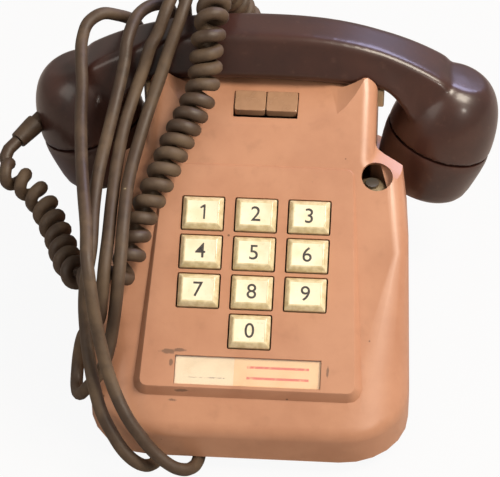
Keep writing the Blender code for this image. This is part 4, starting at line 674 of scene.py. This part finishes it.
def handle_ring(x):
    """Cross-section of the handle at a distance along it, with round edges."""
    out = max(0.0, abs(x) - NECK_HALF)
    low = -HANDLE_SAG * (x / NECK_HALF) ** 2 - HANDLE_FLARE * out * out
    low = max(low, -BULB_DROP + SPIGOT + 2 * BULB_WALL)
    swell = out / (BULB_X - NECK_HALF)
    tuck = HANDLE_TUCK * max(0.0, (abs(x) - BULB_X) / HANDLE_REACH) ** 2
    top = HANDLE_HEIGHT - HANDLE_ARCH * (abs(x) / HANDLE_END) ** ARCH_POWER - tuck
    half_low = HANDLE_HALF_LOW + SWELL_LOW * (BULB_RADIUS - HANDLE_HALF_LOW) * swell
    half_top = HANDLE_HALF_TOP + SWELL_TOP * (BULB_RADIUS - HANDLE_HALF_TOP) * swell - tuck
    corners = ((half_low, low), (half_top, top), (-half_top, top), (-half_low, low))
    ring = []
    for quarter, (y, z) in enumerate(corners):
        in_y = HANDLE_ROUND if y > 0 else -HANDLE_ROUND
        in_z = HANDLE_ROUND if z == top else -HANDLE_ROUND
        for step in range(RING // 4):
            angle = pi / 2 * (quarter - 1 + step / (RING // 4 - 1))
            edge_y = y - in_y + HANDLE_ROUND * cos(angle)
            edge_z = z - in_z + HANDLE_ROUND * sin(angle)
            ring.append((x, edge_y, edge_z))
    return ring


def closed(piece):
    """Merge the doubles of a mesh, fill its open ends and point its faces outwards."""
    active(piece)
    bpy.ops.object.mode_set(mode="EDIT")
    bpy.ops.mesh.select_all(action="SELECT")
    bpy.ops.mesh.remove_doubles(threshold=MERGE)
    bpy.ops.mesh.fill_holes(sides=0)
    bpy.ops.mesh.normals_make_consistent(inside=False)
    bpy.ops.object.mode_set(mode="OBJECT")


bpy.ops.object.select_all(action="DESELECT")
bpy.ops.mesh.primitive_grid_add(x_subdivisions=STATIONS - 1, y_subdivisions=RING, size=2)
handle = bpy.context.object
handle.name = "handset_moulding"
for vertex in handle.data.vertices:
    x, y = vertex.co.x, vertex.co.y
    vertex.co = handle_ring(x * HANDLE_END)[round((y + 1) / 2 * RING) % RING]
closed(handle)


def lathe(name, profile, sides, spot):
    """A turned piece: a profile of (radius, height) points spun about its axis."""
    mesh = bpy.data.meshes.new(name)
    links = [(i, i + 1) for i in range(len(profile) - 1)]
    mesh.from_pydata([(radius, 0, height) for radius, height in profile], links, [])
    piece = bpy.data.objects.new(name, mesh)
    bpy.context.scene.collection.objects.link(piece)
    applied(piece, "SCREW", steps=sides, render_steps=sides, use_merge_vertices=True)
    closed(piece)
    piece.data.transform(spot)
    return piece


def bulb_place(sign):
    """Frame of one bulb: origin in the middle of the seam, Z up along its axis."""
    turn = Matrix.Rotation(sign * BULB_TURN, 4, "Y")
    return HANDSET @ Matrix.Translation((sign * BULB_X, 0, -BULB_DROP)) @ turn


def join(piece, tool, operation):
    """Add a second shape to a piece or cut it out, and drop that shape."""
    applied(piece, "BOOLEAN", object=tool, operation=operation, solver="EXACT")
    bpy.data.objects.remove(tool, do_unlink=True)


handle.data.transform(HANDSET)
dome = [(0, 0)]
for step in range(DOME_STEPS):
    angle = pi / 2 * step / DOME_STEPS
    dome.append((BULB_RADIUS * cos(angle) ** DOME_FULLNESS, BULB_DOME * sin(angle) ** DOME_RISE))
dome.append((0, BULB_DOME))
for sign in (-1, 1):
    join(handle, lathe("bulb", dome, BULB_SIDES, bulb_place(sign)), "UNION")
applied(handle, "REMESH", mode="VOXEL", voxel_size=BLEND_VOXEL)
applied(handle, "SMOOTH", factor=0.5, iterations=BLEND_ROUNDS)
bpy.ops.object.shade_smooth()
dress(handle, handset_plastic, "handset_plastic", "handset", "handset_body")

# Caps: turned mouldings of the handset's plastic, screwed into the bulbs. Each has a dished face with
# seven small sound holes.
CAP_SEAM = 0.0008
CAP_DEPTH = 0.0282
CAP_WALL = 0.0025
CAP_SIDES = 96
CAP_CURVE = (  # parts of the bulb's radius and of the cap's depth, from the middle of the face outwards
    (0.0, 0.90), (0.36, 0.93), (0.58, 0.985), (0.66, 1.0), (0.74, 0.995), (0.80, 0.97), (0.85, 0.925),
    (0.89, 0.86), (0.93, 0.71), (0.96, 0.52), (0.985, 0.34), (1.0, 0.18),
)
CAP_LIP = (0.985, 0.045)
HOLLOW_DEPTH = CAP_DEPTH / 2
SOUND_HOLE = 0.0016
SOUND_HOLE_SIDES = 16
SOUND_RING = 0.0085
collar = BULB_RADIUS - BULB_WALL - GAP
cap_profile = [(out * BULB_RADIUS, -deep * CAP_DEPTH) for out, deep in CAP_CURVE]
cap_profile += [(BULB_RADIUS, -CAP_LIP[1] * CAP_DEPTH - CAP_SEAM), (CAP_LIP[0] * BULB_RADIUS, -CAP_SEAM),
                (collar, -CAP_SEAM), (collar, SPIGOT - GAP), (collar - CAP_WALL, SPIGOT - GAP),
                (collar - CAP_WALL, -HOLLOW_DEPTH)]
cap_profile += [(out * BULB_RADIUS, -deep * CAP_DEPTH + CAP_WALL) for out, deep in CAP_CURVE[1::-1]]
for node, sign in (("mouthpiece_cap", -1), ("earpiece_cap", 1)):
    spot = bulb_place(sign)
    cap = lathe(node + "_moulding", cap_profile, CAP_SIDES, spot)
    holes = [(0, 0)] + [(SOUND_RING * cos(pi * i / 3), SOUND_RING * sin(pi * i / 3)) for i in range(6)]
    for x, y in holes:
        bore = [(0, -CAP_DEPTH - CAP_WALL), (SOUND_HOLE, -CAP_DEPTH - CAP_WALL),
                (SOUND_HOLE, -HOLLOW_DEPTH), (0, -HOLLOW_DEPTH)]
        hole = lathe("sound_hole", bore, SOUND_HOLE_SIDES, spot @ Matrix.Translation((x, y, 0)))
        join(cap, hole, "DIFFERENCE")
    shaded(cap, 35)
    dress(cap, handset_plastic, "handset_plastic", "handset", node)

# Floor and light: a pale table under a large soft lamp from the right. A weak lamp fills from the left,
# a cool one stands behind, and a small one makes the glints.
FLOOR_SIZE = 6
FLOOR_Z = -0.0002
FLOOR_COLOUR = (0.42, 0.38, 0.34, 1.0)
FLOOR_WHITE = 0.93
WORLD_LEVEL = 0.34
WORLD_TINT = (1.0, 0.93, 0.84, 1.0)
WHITE = (1.0, 1.0, 1.0, 1.0)
AIM = Vector((0, 0, 0.06))
LAMPS = (  # name, place, size, power in watts and colour
    ("glint_lamp", (0.85, -0.85, 0.85), 0.14, 3.0, (1.0, 0.94, 0.84)),
    ("key_lamp", (0.75, -0.15, 1.3), 0.6, 22.0, (1.0, 0.90, 0.76)),
    ("fill_lamp", (-1.0, -0.8, 1.2), 1.0, 6.0, (1.0, 0.93, 0.84)),
    ("rear_lamp", (0.55, 1.0, 0.9), 0.5, 8.0, (0.66, 0.66, 1.0)),
)
bpy.ops.object.select_all(action="DESELECT")
bpy.ops.mesh.primitive_plane_add(size=FLOOR_SIZE, location=(0, 0, FLOOR_Z))
floor = bpy.context.object
floor.name = "pale_floor"
pale = bpy.data.materials.new("pale floor")
pale.use_nodes = True
tree = pale.node_tree
matt = tree.nodes["Principled BSDF"]
matt.inputs["Base Color"].default_value = FLOOR_COLOUR
matt.inputs["Roughness"].default_value = 0.9


def seen_directly(nodes):
    """1 for rays from the camera or through something clear, and 0 for the rest."""
    ray = nodes.new("ShaderNodeLightPath")
    seen = Dye(ray.outputs["Is Camera Ray"]) + Dye(ray.outputs["Is Transmission Ray"])
    return seen.maths("MINIMUM", seen, 1.0)


white = tree.nodes.new("ShaderNodeEmission")
mixer = tree.nodes.new("ShaderNodeMixShader")
share = FLOOR_WHITE * seen_directly(tree.nodes)
tree.links.new(share.socket, mixer.inputs[0])
tree.links.new(matt.outputs[0], mixer.inputs[1])
tree.links.new(white.outputs[0], mixer.inputs[2])
tree.links.new(mixer.outputs[0], tree.nodes["Material Output"].inputs[0])
floor.data.materials.append(pale)
world = bpy.data.worlds.new("studio")
world.use_nodes = True
bpy.context.scene.world = world
tree = world.node_tree
seen = seen_directly(tree.nodes)
level = seen * (1 - WORLD_LEVEL) + WORLD_LEVEL
tint = seen.blend(WORLD_TINT, WHITE)
tree.links.new(level.socket, tree.nodes["Background"].inputs["Strength"])
tree.links.new(tint.socket, tree.nodes["Background"].inputs["Color"])
for name, spot, size, power, tint in LAMPS:
    bpy.ops.object.light_add(type="AREA", location=spot)
    lamp = bpy.context.object
    lamp.name = name
    lamp.data.size = size
    lamp.data.energy = power
    lamp.data.color = tint
    lamp.rotation_euler = (AIM - Vector(spot)).to_track_quat("-Z", "Y").to_euler()
bpy.context.scene.view_settings.view_transform = "Standard"
